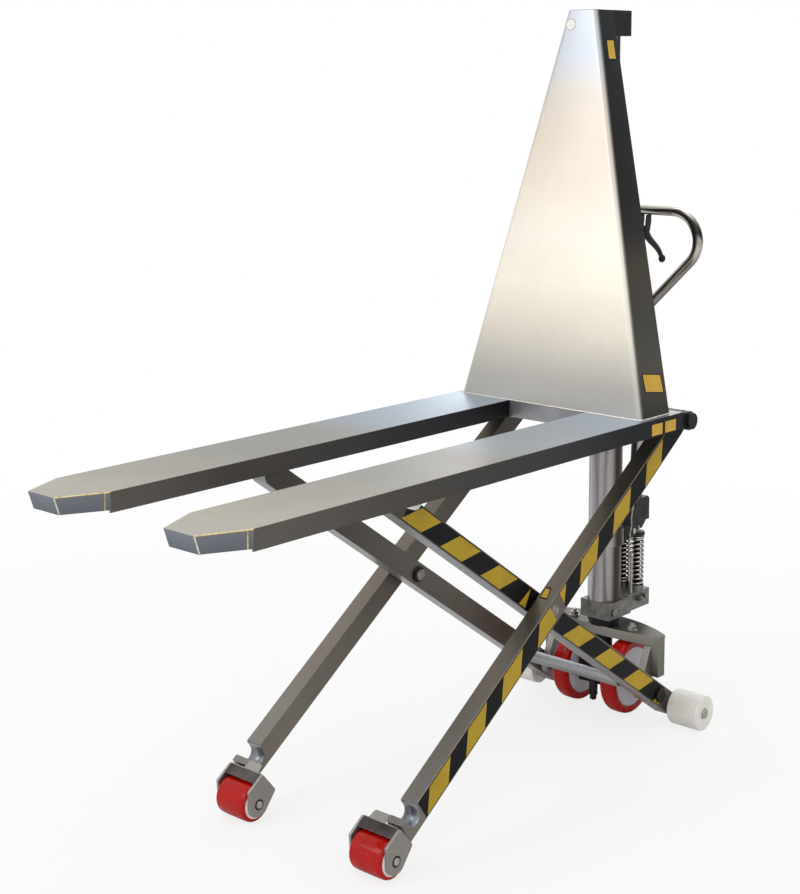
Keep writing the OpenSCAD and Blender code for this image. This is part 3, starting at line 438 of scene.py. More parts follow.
springSteel = springWire("drawnSpringWire", {
    "x": 0.02, "y": 0.745, "r": 0.015, "wire": 0.003,
    "bands": [(0, "#141312"), (0.5, "#252321"), (0.72, "#68635e"), (0.88, "#9f9994"), (1, "#c9c4bf")]})
weldSteel = plainFinish("weldBead", {  # bright and rippled
    "dark": "#b9b1a2", "light": "#efeae0", "metal": 0.85, "rough": 0.3, "marks": 220, "bump": 0.5})
goldWeld = plainFinish("heatTintedWeld", {  # straw coloured by the heat
    "dark": "#a58c57", "light": "#dccb9c", "metal": 0.85, "rough": 0.32, "marks": 160, "bump": 0.5})
redTread = plainFinish("mouldedPolyurethane", {  # a wet looking red
    "dark": "#a90d08", "light": "#bd130c", "rough": 0.25, "coat": 0.3, "coatRough": 0.06, "marks": 14,
    "bump": 0.03, "specular": 0.1})
hubPlastic = plainFinish("mouldedNylonHub", {  # pale and faintly violet
    "dark": "#c3c2c8", "light": "#d6d5da", "rough": 0.45, "marks": 24, "bump": 0.08})
rollerPlastic = plainFinish("turnedWhiteNylon", {  # milky, so light goes a little way in
    "dark": "#ebe9e1", "light": "#f6f4ee", "rough": 0.42, "marks": 40, "bump": 0.08, "depth": 0.1})
blackPlastic = plainFinish("mouldedBlackPlastic", {  # leathery black
    "dark": "#0e0f10", "light": "#191a1b", "rough": 0.4, "bump": 0.2, "specular": 0.25})
blackFilm = plainFinish("blackVinylFilm", {  # smooth, a touch of sheen
    "dark": "#0d0e10", "light": "#151516", "rough": 0.42, "marks": 18, "bump": 0.05, "specular": 0.1})
yellowFilm = plainFinish("yellowVinylFilm", {  # mustard rather than lemon
    "dark": "#b0921c", "light": "#bf9f2b", "rough": 0.42, "marks": 12, "bump": 0.05, "specular": 0.2})
labelFilm = plainFinish("blankYellowLabel", {  # a warmer yellow than the film
    "dark": "#c99d22", "light": "#d8ad33", "rough": 0.45, "marks": 20, "bump": 0.05})
print("finishes made")


# CAD nodes whose shape stands, with broken edges (widths in metres)
forkSheet = {"edge": 0.0008, "fold": 0.0045, "foldLength": 0.1, "topZ": 0.7765, "jointY": -0.781, "jointHalf": 0.0015}
armTube = {"edge": 0.0008, "fold": 0.0032, "foldLength": 0.15}
noseEdge = 0.0022
sameSpot = 1e-4


def longFold(a, b):  # edges that run the length of a fork's sheet at its top corners
    straight = abs(a.x - b.x) < sameSpot and abs(a.z - b.z) < sameSpot
    return straight and abs(a.y - b.y) > forkSheet["foldLength"] and a.z > forkSheet["topZ"]


def armFold(a, b):  # the four long corners of a box tube
    return abs(a.x - b.x) < sameSpot and (a - b).length > armTube["foldLength"]


def noseJoint(a, b):  # edges where a nose or a fork meets the other, welded shut
    return abs(a.y - b.y) < sameSpot and abs(a.y - forkSheet["jointY"]) < forkSheet["jointHalf"]


for side in sides:
    softened("fork_" + side, forkSteel, forkSheet["edge"], longFold, forkSheet["fold"], 4, keep=noseJoint)
    softened("inner_arm_" + side, innerSteel, armTube["edge"], armFold, armTube["fold"], 4)
    softened("outer_arm_" + side, outerSteel, armTube["edge"], armFold, armTube["fold"], 4)
softened("fork_noses", noseSteel, noseEdge, segments=4, keep=noseJoint)
for finish, widths in (
        (bridgeSteel, {"bridge": 0.0015}), (plateSteel, {"foot_plates": 0.0012}), (earSteel, {"upper_ears": 0.0012}),
        (capSteel, {"mast_cap": 0.0015}), (machinedSteel, {"pump_block": 0.0015}),
        (pinSteel, {"pump_fittings": 0.0007}), (crossSteel, {"cross_member": 0.001, "cross_tube": 0.0008}),
        (darkSteel, {"carrier_stay": 0.001, "wheel_carrier": 0.002, "spring_cap": 0.0015, "tiller_base": 0.002,
                     "lower_pins": 0.0009, "gland": 0.0012, "wheel_axle": 0.001}),
        (blackPlastic, {"lever_bracket": 0.001, "lower_race": 0.001, "upper_race": 0.001}),
        (boltSteel, {"bridge_bolts": 0.0007, "release_rod": 0.0005, "tiller_pin": 0.0008, "presser_roller": 0.0007,
                     "axle_caps": 0.0008, "stab_axles": 0.001, "top_pins": 0.0008, "load_pins": 0.0012})):
    for node, width in widths.items():
        softened(node, finish, width)
for node, finish in (("plungers", earSteel), ("lift_rod", rodSteel)):
    for slot in nodes[node].material_slots:
        slot.link = "OBJECT"
        slot.material = finish
tillerBracket = {"edge": 0.001, "tubeFinishTo": 0.668}  # in front of this the bracket takes the cylinder tube's finish with its painted reflection bands, and dark steel behind it
bracket = softened("tiller_bracket", darkSteel, tillerBracket["edge"]).data
bracket.materials.append(cylinderSteel)
middles = np.empty(3 * len(bracket.polygons), np.float32)
bracket.polygons.foreach_get("center", middles)
bracket.polygons.foreach_set("material_index", (middles[1::3] < tillerBracket["tubeFinishTo"]).astype(np.int32))
print("plates, tubes and blocks finished")

# Mast: one folded sheet, its front and sides meeting in a rolled bend
mast = {"footZ": 776.5, "headZ": 1681, "foot": 256.8, "head": 41.2, "lean": 115.4, "depth": 113, "rearLean": 69,
        "bend": 14, "rows": 48, "sheet": 4, "beadR": 2.2, "beadZ": 777.4}


def mastOutline(z, inset=0.0):
    # at each height: half the width, the front and the rear, all straight lines between foot and head
    share = (z - mast["footZ"]) / (mast["headZ"] - mast["footZ"])
    half = mast["foot"] + (mast["head"] - mast["foot"]) * share - inset
    front = mast["lean"] * share + inset
    rear = mast["depth"] + mast["rearLean"] * share
    return half, front, rear


def mastLine(half, front, rear, bend, z):
    # from one rear edge round the two bends to the other: the corners' arcs have 9 points each, and the
    # first and last corner give one of theirs
    corners = [(-half, rear), (-half, front), (half, front), (half, rear)]
    line = rounded(corners, [0.01, bend, bend, 0.01])[8:28]
    return np.column_stack([line, np.full(len(line), z)])


def mastRow(z):
    # outside round the two bends, then back along the inside, a sheet's thickness in
    outside = mastLine(*mastOutline(z), mast["bend"], z)
    inside = mastLine(*mastOutline(z, mast["sheet"]), mast["bend"] - mast["sheet"], z)
    return np.concatenate([outside, inside[::-1]])


mastGrid = np.stack([mastRow(z) for z in np.linspace(mast["footZ"], mast["headZ"], mast["rows"])])
ring = mastGrid.shape[1]
mastFaces = gridFaces(mast["rows"], ring, False, True)
for first in (0, (mast["rows"] - 1) * ring):  # the sheet's edge at the foot and at the head
    rim = first + np.arange(ring // 2)
    facing = first + ring - 1 - np.arange(ring // 2)
    mastFaces += np.stack([rim[:-1], rim[1:], facing[1:], facing[:-1]], -1).tolist()
newPiece("mastSheet", mastGrid, mastFaces, "carriage", mastSteel, 35, ["mast_cover"])
footHalf, footFront, footRear = mastOutline(mast["footZ"])
footLine = mastLine(footHalf, footFront, footRear, mast["bend"], mast["beadZ"])
swept("mastFootWeld", circle(mast["beadR"], 10, 0.7), footLine, (0, 0, 1), "carriage", weldSteel)
print("mast folded")

# Film on the arms: black tape with yellow panes, cut on a slant. A strip and a pane are given by where they
# start and end along the arm, and an odd offcut by its corners.
film = {"black": 22.3, "yellow": 20.8, "under": -0.3, "depth": {"black": 0.25, "yellow": 0.4},
        "outer": {"x": 238, "slant": 0.87, "strips": [(-580, -28), (10, 521)],
                  "panes": [(-482, -406), (-330, -254), (-182, -106), (142, 218), (284, 356), (422, 498)],
                  "odd": [[(-57, 20.8), (-28.6, 20.8), (-28.6, -11)],
                          [(10.6, 20.8), (54, 20.8), (90, -20.8), (10.6, -20.8)],
                          [(-571, 20.8), (-556, 20.8), (-563, 9)]]},
        "inner": {"x": 188, "slant": 1.1, "strips": [(-598, 508)],
                  "panes": [(-516, -440), (-370, -298), (-224, -152), (-78, -26), (120, 196), (270, 350), (420, 490)],
                  "odd": [[(-597.4, 8), (-566, -20.8), (-597.4, -20.8)], [(42, 20.8), (36, -20.8), (62, -20.8)]]}}
centre = {"pin": [(136, 0.3), (136, 9.6), (138.4, 12.3), (237.5, 12.3), (238.3, 11), (238.3, 0.3)],
          "pinCorners": [0.1, 1.5, 1, 0.4, 0.4, 0.1],
          "washer": (145, 147.9, 12.4, 18.5)}


def filmPiece(name, arm, sign, outlines, depth, material):
    # every outline, in distances along and above the arm's axis, becomes a thin patch on the arm's outer face
    points, faces, start = [], [], 0
    for outline in outlines:
        outline = np.array(outline, float)
        count = len(outline)
        for stand in (film["under"], depth):
            points.append(onArm(arm, outline[:, 0], outline[:, 1], sign * (film[arm]["x"] + stand)))
        ring = [start + k for k in range(count)]
        faces += [ring[::-1], [k + count for k in ring]]
        faces += (np.array(gridFaces(2, count, False, True)) + start).tolist()
        start += 2 * count
    newPiece(name, np.concatenate(points), faces, arm + "_frame", material)


for side, sign in sides.items():
    label = side.capitalize()
    for arm in ("outer", "inner"):
        look, high, low = film[arm], film["black"], film["yellow"]
        lean = look["slant"] * low
        strips = [[(a, high), (b, high), (b, -high), (a, -high)] for a, b in look["strips"]]
        panes = [[(a - lean, low), (b - lean, low), (b + lean, -low), (a + lean, -low)] for a, b in look["panes"]]
        name, depth = arm + "Film" + label, film["depth"]
        filmPiece(name + "Black", arm, sign, strips, depth["black"], blackFilm)
        filmPiece(name + "Yellow", arm, sign, panes + look["odd"], depth["yellow"], yellowFilm)
    turned("centrePin" + label, rounded(np.array(centre["pin"]) * [sign, 1], centre["pinCorners"], 4), (0, *crossing),
           "x", "inner_frame", pinSteel, 48, replaced=["center_pins"])
    turned("centreWasher" + label, rounded(np.array(box(*centre["washer"])) * [sign, 1], 0.5, 3), (0, *crossing), "x",
           "inner_frame", darkSteel, 48)
print("striped film laid")

# Wheels and rollers, turned about their axles
steerWheel = {"x": 70, "y": 238, "z": 90, "r": 90, "half": 20, "hub": 72, "edge": 9, "crown": 0.8, "bore": 10.1,
              "rimIn": 2.2, "rimR": 64, "dishIn": 4.5, "dishOut": 61, "bossR": 33, "bossTop": 29, "bossIn": 0.5}
loadWheel = {"x": 190, "y": -786.07, "z": 40, "r": 40, "half": 42, "hub": 32, "edge": 8, "crown": 0.5, "bore": 8.1}
tailRoller = {"x": 238.5, "y": 254.73, "z": 41, "r": 41, "half": 39.5, "bush": 12, "bore": 8, "play": 0.1,
              "trim": (0.5, 1.5)}
topRoller = {"x": 218, "y": -724.11, "z": 730.41, "r": 16, "half": 18, "pin": 7, "play": 0.1}


def axleTurned(name, corners, radii, arcSteps, wheel, side, body, material, steps, node):
    # a section with rounded corners, turned about the wheel's axle and mirrored on the right
    sign = sides[side]
    turned(name + side.capitalize(), rounded(np.array(corners) * [sign, 1], radii, arcSteps),
           (sign * wheel["x"], wheel["y"], wheel["z"]), "x", body, material, steps, replaced=[node + side])


def tread(name, wheel, side, body, steps, node):
    # a ring's section: flat inside, slightly crowned outside, with large rounded shoulders
    half, inner, r, crown = wheel["half"], wheel["hub"], wheel["r"], wheel["r"] - wheel["crown"]
    corners = [(-half, inner), (-half, crown), (-half * 0.4, r), (half * 0.4, r), (half, crown), (half, inner)]
    radii = [0.3, wheel["edge"], 4, 4, wheel["edge"], 0.3]
    axleTurned(name, corners, radii, 8, wheel, side, body, redTread, steps, node)


for side in sides:
    w = steerWheel
    tread("steerTread", w, side, "wheel_" + side, 112, "wheel_tread_")
    inner, dish, boss = w["half"] - w["rimIn"], w["half"] - w["dishIn"], w["half"] - w["bossIn"]
    hub = [(-inner, w["bore"]), (-inner, w["hub"]), (inner, w["hub"]), (inner, w["rimR"]), (dish, w["dishOut"]),
           (dish, w["bossR"]), (boss, w["bossTop"]), (boss, w["bore"])]
    axleTurned("steerHub", hub, [0.2, 0.3, 1.2, 1.6, 2.4, 3, 1.5, 0.3], 4, w, side, "wheel_" + side, hubPlastic, 96,
               "wheel_hub_")
    w = loadWheel
    tread("loadTread", w, side, "load_" + side, 80, "load_tread_")
    end, shoulder, r = w["half"] + 0.6, w["half"] - 1.5, w["hub"]
    hub = [(-end, w["bore"]), (-end, r - 1), (-shoulder, r + 0.4), (shoulder, r + 0.4), (end, r - 1),
           (end, w["bore"])]
    axleTurned("loadHub", hub, [0.2, 1.2, 0.8, 0.8, 1.2, 0.2], 4, w, side, "load_" + side, rollerPlastic, 72,
               "load_hub_")
    w = tailRoller
    ring = box(-w["half"], w["half"], w["bush"] + w["play"], w["r"])
    axleTurned("tailRoller", ring, [0.8, 3.2, 3.2, 0.8], 6, w, side, "stabiliser_" + side, rollerPlastic, 96,
               "stab_roller_")
    ring = box(-w["half"] + w["trim"][0], w["half"] - w["trim"][1], w["bore"], w["bush"])
    axleTurned("tailBush", ring, 0.4, 3, w, side, "stabiliser_" + side, darkSteel, 40, "stab_bush_")
    w = topRoller
    ring = box(-w["half"], w["half"], w["pin"] + w["play"], w["r"])
    axleTurned("topRoller", ring, 1.2, 4, w, side, "top_" + side, rollerPlastic, 56, "top_roller_")
print("wheels and rollers turned")

# Pump: cylinder tube, springs, and the release wire, which hangs from the tiller's foot
pump = {"cylinder": (267, 938), "r": 40, "bore": 30, "springX": 20, "springY": 348, "springZ": (281, 405),
        "springR": 15, "wire": 3, "turns": 12, "turnPoints": 28, "flatEnd": 0.06, "swell": 0.009, "pressed": 0.752}
release = {"r": 1.6, "points": 81, "line": [
    (20, 316, 484), (28, 312, 490), (37, 306, 497), (39, 302, 492), (39, 297, 478), (39, 292.6, 459), (39, 295, 443),
    (39, 290, 428), (39, 287.4, 418), (39, 292, 408), (39, 297, 409)]}
tube = rounded(box(*pump["cylinder"], pump["bore"], pump["r"]), [0.3, 0.8, 1.5, 0.6], 4)
turned("cylinderTube", tube, (0, truck["steerY"], 0), "z", "steering", cylinderSteel, 128,
       replaced=["cylinder_tube"])


def springPath(sign):
    # a helix: the ends lie flat for a short way, and the rest climbs evenly but for one gentle wave
    low, high = pump["springZ"][0] + pump["wire"], pump["springZ"][1] - pump["wire"]
    share = np.linspace(0, 1, pump["turns"] * pump["turnPoints"] + 1)
    climb = np.clip((share - pump["flatEnd"]) / (1 - 2 * pump["flatEnd"]), 0, 1)
    climb = climb + pump["swell"] * np.sin(2 * np.pi * share)
    angle = 2 * np.pi * pump["turns"] * share + (0 if sign > 0 else np.pi)
    return np.stack([sign * pump["springX"] + pump["springR"] * np.cos(angle),
                     pump["springY"] + pump["springR"] * np.sin(angle), low + (high - low) * climb], -1)


def alongPoints(points, count):
    # the straight runs between the points, cut into equal shares of the points' count
    points = np.asarray(points, float)
    share = np.linspace(0, len(points) - 1, count)
    return np.stack([np.interp(share, np.arange(len(points)), points[:, k]) for k in range(3)], -1)


for side, sign in sides.items():
    coil = swept("pumpSpring" + side.capitalize(), circle(pump["wire"], 10), springPath(sign), (0, 0, 1), "steering",
                 springSteel, smoothTo=60, replaced=["spring_" + side])
    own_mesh(coil)
line = alongPoints(release["line"], release["points"])
for _ in range(6):  # averaging neighbours takes the corners out of the bends
    line[1:-1] = (line[:-2] + 2 * line[1:-1] + line[2:]) / 4
swept("releaseWire", circle(release["r"], 12), line, (1, 0, 0.01), "tiller", boltSteel, smoothTo=60)
print("pump dressed")

# Tiller: bent handle loop, its socket and shaft, and the release lever
tiller = {"y": 391, "top": 1207, "half": 150, "bend": 70, "footBend": 9, "footZ": 958, "r": 12.4, "shaftR": 16,
          "shaft": ((366, 480), (391, 940)), "shaftFoot": (367, 497.5),
          "socket": [(934.3, 0.5), (934.3, 15.5), (962, 15.5), (966, 9), (966, 0.5)]}
lever = {"pivot": (386, 1159), "ball": (473, 1071), "bow": 4, "points": 64, "round": 20, "ballR": 9.8, "ballAt": 0.92,
         "length": 125, "end": 0.95, "skin": 0.4, "flat": 0.8,
         "widths": ([0, 0.1, 0.3, 0.7, 0.84], [8.5, 10.5, 8.6, 6.8, 6]),
         "boss": [(-12, 0.4), (-12, 4), (-8, 4), (-8, 9), (8, 9), (8, 4), (12, 4), (12, 0.4)]}


def loopPath():
    # a triangle on its point, with every corner rounded to the pipe bender's radius
    centre = np.array([tiller["half"] - tiller["bend"], tiller["top"] - tiller["bend"]])
    reach = math.hypot(centre[0], centre[1] - tiller["footZ"])
    tilt = math.atan2(centre[0], centre[1] - tiller["footZ"]) + math.asin(tiller["bend"] / reach)
    cornerX = (tiller["top"] - tiller["footZ"]) * math.tan(tilt)
    path = rounded([(0, tiller["footZ"]), (cornerX, tiller["top"]), (-cornerX, tiller["top"])],
                   [tiller["footBend"], tiller["bend"], tiller["bend"]], 28)
    return np.column_stack([path[:, 0], np.full(len(path), tiller["y"]), path[:, 1]])


def leverGrid():
    # rings about a line that bows to one side and back; their width is a table's, and at the end the height
    # of a ball over its own length
    start, end = np.array(lever["pivot"], float), np.array(lever["ball"], float)
    part = np.linspace(0, 1, lever["points"])
    bow = lever["bow"] * (np.sin(np.pi * part) - np.sin(2 * np.pi * part))
    along = end - start
    line = start + part[:, None] * along - bow[:, None] * unit(np.array([along[1], -along[0]]))
    ball = np.sqrt(np.clip(lever["ballR"] ** 2 - ((part - lever["ballAt"]) * lever["length"]) ** 2, 0, None))
    width = np.interp(part, *lever["widths"]) * (part < lever["end"])
    width = (np.maximum(width, ball) + lever["skin"])[:, None]
    heading = unit(np.gradient(line, axis=0))
    angle = np.linspace(0, 2 * np.pi, lever["round"], endpoint=False)[None, :]
    return np.stack([lever["flat"] * width * np.cos(angle),
                     line[:, :1] + width * np.sin(angle) * heading[:, 1:],
                     line[:, 1:] - width * np.sin(angle) * heading[:, :1]], -1)


swept("handleLoop", circle(tiller["r"], 28), loopPath(), (0, 1, 0), "tiller", tubeSteel, True, smoothTo=60,
      replaced=["tiller_loop"])
turned("handleSocket", rounded(tiller["socket"], [0.2, 1.5, 3, 2, 0.2], 5), (0, tiller["y"], 0), "z", "tiller",
       tubeSteel, 48)
foot, head = np.array(tiller["shaft"], float)
shaftLine = [tiller["shaftFoot"], foot * 0.66 + head * 0.34, foot * 0.33 + head * 0.67, head]
swept("tillerShaft", circle(tiller["shaftR"], 40), [(0, *point) for point in shaftLine], (1, 0, 0), "tiller",
      tubeSteel, smoothTo=60, replaced=["tiller_shaft"])
rows, cols = lever["points"], lever["round"]
faces = gridFaces(rows, cols, False, True) + [list(range(cols)), list(range((rows - 1) * cols, rows * cols))[::-1]]
newPiece("releaseLever", leverGrid(), faces, "control_lever", blackPlastic, 60)
turned("leverPivot", rounded(lever["boss"], 0.4, 3), (0, *lever["pivot"]), "x", "control_lever", blackPlastic, 40,
       replaced=["lever"])
print("tiller bent")

# Yokes: the bent saddle in each outer arm, the tab behind it, and the axle ends
yoke = {"saddleAt": (545, 8), "saddleR": 18, "saddleTop": 23.5, "saddleX": (198.4, 237.6), "saddleSheet": 1.6,
        "cheeks": (140, 234), "cheekT": 6, "axle": (627.6, -18.3), "foot": 27, "top": 25.5,
        "cover": (583, 608, 22.3, 25.5), "coverX": (145.5, 234.5), "back": (582.5, 585.5, -12, 25.3),
        "lips": [(583.8, 25), (607.4, 23.4)], "lipX": (146, 234), "lipR": 0.9,
        "tab": [(563.5, 160), (563.5, 197.9), (592, 197.9), (592, 154)], "tabZ": 21.8, "tabT": 2.6,
        "seat": [(0.0, 7.8), (0.35, 7.8), (0.35, 11.5), (0.0, 11.5)]}
upFromArm = (0, -math.sin(lift), math.cos(lift))


def cheekOutline():
    # the lower end is an arc about the axle, and the sheet's three other corners are rounded: of five
    # corners' arcs with 7 points each, the middle three are kept
    along, above = yoke["axle"]
    angle = np.radians(np.linspace(8, -97, 30))
    arc = np.stack([along + yoke["foot"] * np.cos(angle), above + yoke["foot"] * np.sin(angle)], -1)
    corners = [arc[-1], (577.9, -31), (583, yoke["top"]), (631, yoke["top"]), arc[0]]
    return np.concatenate([rounded(corners, [0.01, 6, 4, 3, 0.01], 6)[7:28], arc])


def saddleStrip():
    # the strip follows the notch: down one side, round the half circle and up the other
    turnBy = np.linspace(np.pi, 2 * np.pi, 25)
    along = yoke["saddleAt"][0] + yoke["saddleR"] * np.cos(turnBy)
    above = yoke["saddleAt"][1] + yoke["saddleR"] * np.sin(turnBy)
    along = np.concatenate([[along[0]], along, [along[-1]]])
    above = np.concatenate([[yoke["saddleTop"]], above, [yoke["saddleTop"]]])
    return along, above


def crossSheet(name, section, radius, steps):
    # a box in distances along and above the arm, drawn straight across between the cheeks
    edge = rounded(box(*section), radius, steps)
    near, far = yoke["coverX"]
    slab(name, onArm("outer", edge[:, 0], edge[:, 1], sign * near), (sign, 0, 0), far - near, "outer_frame",
         coverSteel, 0)


for side, sign in sides.items():
    name = side.capitalize()
    along, above = saddleStrip()
    grid = np.stack([onArm("outer", along, above, sign * x) for x in yoke["saddleX"]])
    faces = gridFaces(2, grid.shape[1], False, False)
    strip = newPiece("saddleLiner" + name, grid, faces, "outer_frame", saddleSteel, 60)
    wall = strip.modifiers.new("sheet", "SOLIDIFY")
    wall.thickness = yoke["saddleSheet"] / 1000
    wall.offset = 0
    outline = cheekOutline()
    for number, x in enumerate(yoke["cheeks"]):
        slab(f"yokeCheek{name}{number}", onArm("outer", outline[:, 0], outline[:, 1], sign * x), (sign, 0, 0),
             yoke["cheekT"], "outer_frame", plateSteel, 0.8, replaced=["yoke_" + side])
    # the cover and the back web take the sheet painted dark as a painted reflection
    crossSheet("yokeCover" + name, yoke["cover"], 1.2, 4)
    crossSheet("yokeBack" + name, yoke["back"], 0.4, 3)
    # the lips are bright round edges along the dark cover: painted highlight lines
    for number, (along, above) in enumerate(yoke["lips"]):
        line = onArm("outer", along, above, sign * np.array(yoke["lipX"]))
        swept(f"yokeLipPaintedHighlight{name}{number}", circle(yoke["lipR"], 8), line, (0, 0, 1), "outer_frame", boltSteel)
    tab = rounded(yoke["tab"], [5, 0.5, 0.5, 0.5], 5)
    slab("saddleTab" + name, onArm("outer", tab[:, 0], yoke["tabZ"], sign * tab[:, 1]), upFromArm, yoke["tabT"],
         "outer_frame", plateSteel, 0.5)
    for x, end, way in ((yoke["cheeks"][0], "In", -1), (yoke["cheeks"][1] + yoke["cheekT"], "Out", 1)):
        turned("axleSeat" + name + end, np.array(yoke["seat"]) * [sign * way, 1],
               (sign * x, loadWheel["y"], loadWheel["z"]), "x", "outer_frame", earSteel, 40)
print("yokes fitted")

# Weld beads and gold heat tint at the noses
nose = {"y": (-1178, -1272.8), "inset": 42.4, "sides": (269.2, 110.8), "topZ": 775.6, "bead": 1.9, "seam": 2.6,
        "seamZ": (775.2, 759.5, 743.8), "seamY": (0.4, 6, 11.4), "jointR": 1.7, "jointX": (265.6, 114.4),
        "jointY": -1187.6, "jointZ": (775.5, 765, 753, 743)}


def noseBeads(sign):
    # top edge of the nose from one side bend round to the other, then the two upright front corners
    (back, front), (out, low) = nose["y"], nose["sides"]
    top = [(out, back), (out - nose["inset"], front), (low + nose["inset"], front), (low, back)]
    top = np.array([(sign * x, y, nose["topZ"]) for x, y in top])
    uprights = [np.array([(x, front + y, z) for y, z in zip(nose["seamY"], nose["seamZ"])]) for x in top[1:3, 0]]
    return top, uprights


for side, sign in sides.items():
    name = side.capitalize()
    top, uprights = noseBeads(sign)
    swept("noseWeld" + name, circle(nose["bead"], 8, 0.8), alongPoints(top, 61), (0, 0, 1), "carriage", goldWeld,
          smoothTo=80)
    for number, path in enumerate(uprights):
        swept(f"noseSeam{name}{number}", circle(nose["seam"], 8, 0.7), path, (0, 1, 0), "carriage", weldSteel,
              smoothTo=80)
    for number, x in enumerate(nose["jointX"]):
        path = [(sign * x, nose["jointY"], z) for z in nose["jointZ"]]
        swept(f"noseJoint{name}{number}", circle(nose["jointR"], 10), path, (0, 1, 0), "carriage", goldWeld,
              smoothTo=80)
print("welds run")

# Blank plates, a yellow field in a black border
labels = {"thick": 0.5, "border": 4.5, "fork": [(20, 70), (72.5, 124)], "forkX": 269.8, "forkZ": (738, 768),
          "high": [(133, 1615), (163, 1615), (159, 1566), (128, 1566)],
          "low": [(34, 875), (108, 865), (108, 823), (34, 833)],
          "patch": [(-34, 202), (-34, 216), (-2, 224), (-2, 202)], "patchZ": 24.8, "disc": (-26, 1648, 14)}


def blank(name, corners, normal, body, radius=2.0):
    # the field's corners lie nearer the middle than the black one's, so it shows as a line all round
    corners, normal = np.asarray(corners, float), np.asarray(normal, float)
    away = corners - corners.mean(0)
    field = corners.mean(0) + away * (1 - labels["border"] / np.linalg.norm(away, axis=-1, keepdims=True))
    slab(name + "Rim", rounded(corners, radius, 4), normal, labels["thick"] - 0.2, body, blackFilm, 0)
    slab(name, rounded(field, radius * 0.5, 4), normal, labels["thick"], body, labelFilm, 0)


mastHeight = mast["headZ"] - mast["footZ"]
flare, slope = (mast["foot"] - mast["head"]) / mastHeight, mast["lean"] / mastHeight
for side, sign in sides.items():
    name = side.capitalize()
    low, high = labels["forkZ"]
    for number, (a, b) in enumerate(labels["fork"]):
        corners = [(sign * labels["forkX"], y, z) for y, z in ((a, low), (b, low), (b, high), (a, high))]
        blank(f"forkPlate{name}{number}", corners, (sign, 0, 0), "carriage", 0.6)
    for spot in ("high", "low"):
        corners = [(sign * mastOutline(z, 0.1)[0], y, z) for y, z in labels[spot]]
        blank("mastPlate" + spot.capitalize() + name, corners, unit(np.array([sign, 0, flare])), "carriage")
    patch = np.array(labels["patch"], float)
    blank("armPatch" + name, onArm("outer", patch[:, 0], labels["patchZ"], sign * patch[:, 1]), upFromArm,
          "outer_frame", 3.0)
x, z, r = labels["disc"]
for name, radius, stand, finish in (("mastDiscRim", r, 0.1, pinSteel), ("mastDisc", r - 1.6, 0.3, rollerPlastic)):
    disc = circle(radius, 48)
    face = np.column_stack([disc[:, 0] + x, mastOutline(z)[1] + disc[:, 1] * slope - stand + 0.4, disc[:, 1] + z])
    slab(name, face, unit(np.array([0, -1, slope])), labels["thick"], "carriage", finish, 0)
print("plates set")

# Camera, light and floor. The camera that fits the photograph is level and needs more shift; this tilt and
# shift keep the whole truck in the other views too.
view = {"spot": (2.2955, -2.6769, 1.5333), "down": 6.534, "round": 41.813, "lens": 68.01, "film": 36, "shift": -0.2}
camera = bpy.data.objects.new("camera", bpy.data.cameras.new("camera"))
scene.collection.objects.link(camera)
scene.camera = camera
camera.location = view["spot"]
camera.rotation_euler = (math.radians(90 - view["down"]), 0, math.radians(view["round"]))
camera.data.sensor_fit = "VERTICAL"
camera.data.sensor_height = view["film"]
camera.data.lens = view["lens"]
camera.data.shift_y = view["shift"]

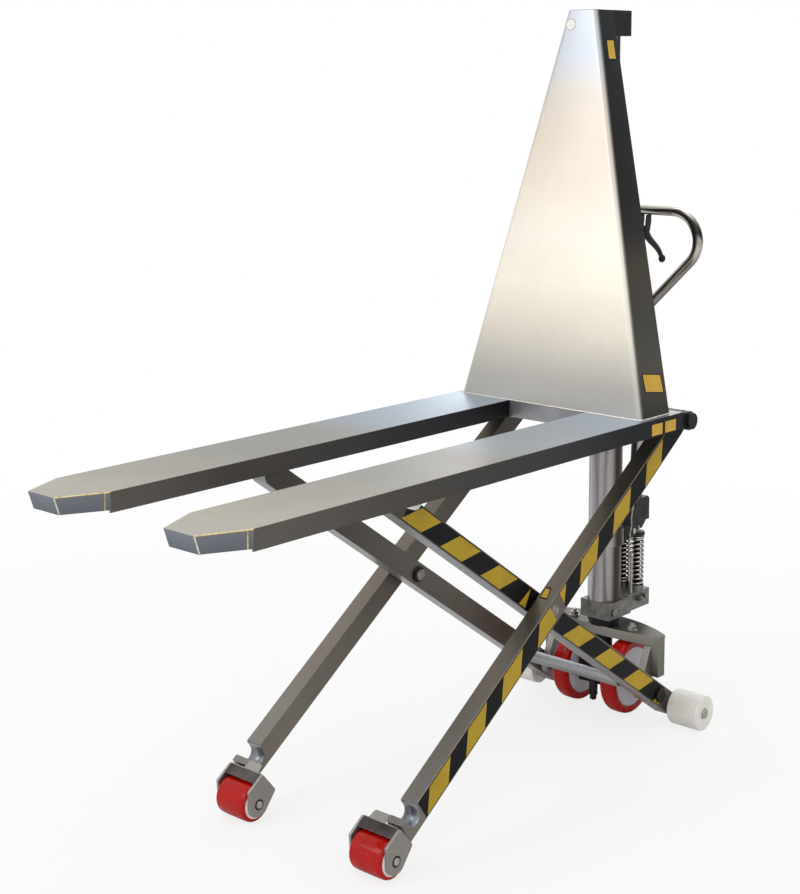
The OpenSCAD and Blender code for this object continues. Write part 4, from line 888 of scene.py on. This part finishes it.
# each lamp: its place, its size in metres and its watts; all of them face the truck's middle
lamps = {"key": ((-1.6, -3.4, 3.6), 2.6, 62), "fill": ((3.4, -1.6, 2.6), 2.4, 20), "top": ((0.2, 0.3, 4.2), 3.2, 36),
         "rear": ((-1.5, 3.2, 2.4), 2.2, 20)}
for name, (spot, size, power) in lamps.items():
    lamp = bpy.data.objects.new(name, bpy.data.lights.new(name, "AREA"))
    scene.collection.objects.link(lamp)
    lamp.data.size = size
    lamp.data.energy = power
    lamp.location = spot
    aim = unit(np.array([0, 0, 0.7]) - np.array(spot))
    lamp.rotation_euler = (math.acos(-aim[2]), 0, math.atan2(aim[1], aim[0]) - math.pi / 2)

# the world is white where it is seen, mirrored or looked through, and dimmer where it lights the truck
world = bpy.data.worlds.new("studio")
scene.world = world
world.use_nodes = True
tree = world.node_tree
path = addNode(tree, "LightPath")
shown = addNode(tree, "Math", {0: path["Is Camera Ray"], 1: path["Is Transmission Ray"]}, operation="MAXIMUM")[0]
shown = addNode(tree, "Math", {0: shown, 1: path["Is Glossy Ray"]}, operation="MAXIMUM")[0]
strength = addNode(tree, "MapRange", {"Value": shown, "To Min": 0.55, "To Max": 1.0})[0]
feed(tree, tree.nodes["Background"], {"Strength": strength, "Color": (1, 1, 1, 1)})

# the floor keeps the truck's shadow near it and goes over into the white background further off
ground = {"half": 30, "colour": "#f4f4f4", "rough": 0.9, "fade": (1.0, 3.2), "glow": (0.78, 1.0)}
half = ground["half"]
floorMesh = bpy.data.meshes.new("floor")
floorMesh.from_pydata([(-half, -half, 0), (half, -half, 0), (half, half, 0), (-half, half, 0)], [], [(0, 1, 2, 3)])
floor = bpy.data.objects.new("floor", floorMesh)
scene.collection.objects.link(floor)
floorPaint, tree, shader = startMaterial("paleFloor", {"Base Color": toLinear(ground["colour"]),
                                                       "Roughness": ground["rough"]})
glow = addNode(tree, "Emission", {"Color": (1, 1, 1, 1), "Strength": 1.0})[0]
away = addNode(tree, "VectorMath", {0: addNode(tree, "TexCoord")["Object"]}, operation="LENGTH")["Value"]
(near, far), (least, most) = ground["fade"], ground["glow"]
plain = addNode(tree, "MapRange", {"Value": away, "From Min": near, "From Max": far, "To Min": least, "To Max": most},
                interpolation_type="SMOOTHSTEP")[0]
share = addNode(tree, "Math", {0: plain, 1: addNode(tree, "LightPath")["Is Camera Ray"]}, operation="MULTIPLY")[0]
blend = addNode(tree, "MixShader", {0: share, 1: shader.outputs[0], 2: glow})[0]
feed(tree, tree.nodes["Material Output"], {"Surface": blend})
floorMesh.materials.append(floorPaint)

print("scene ready")
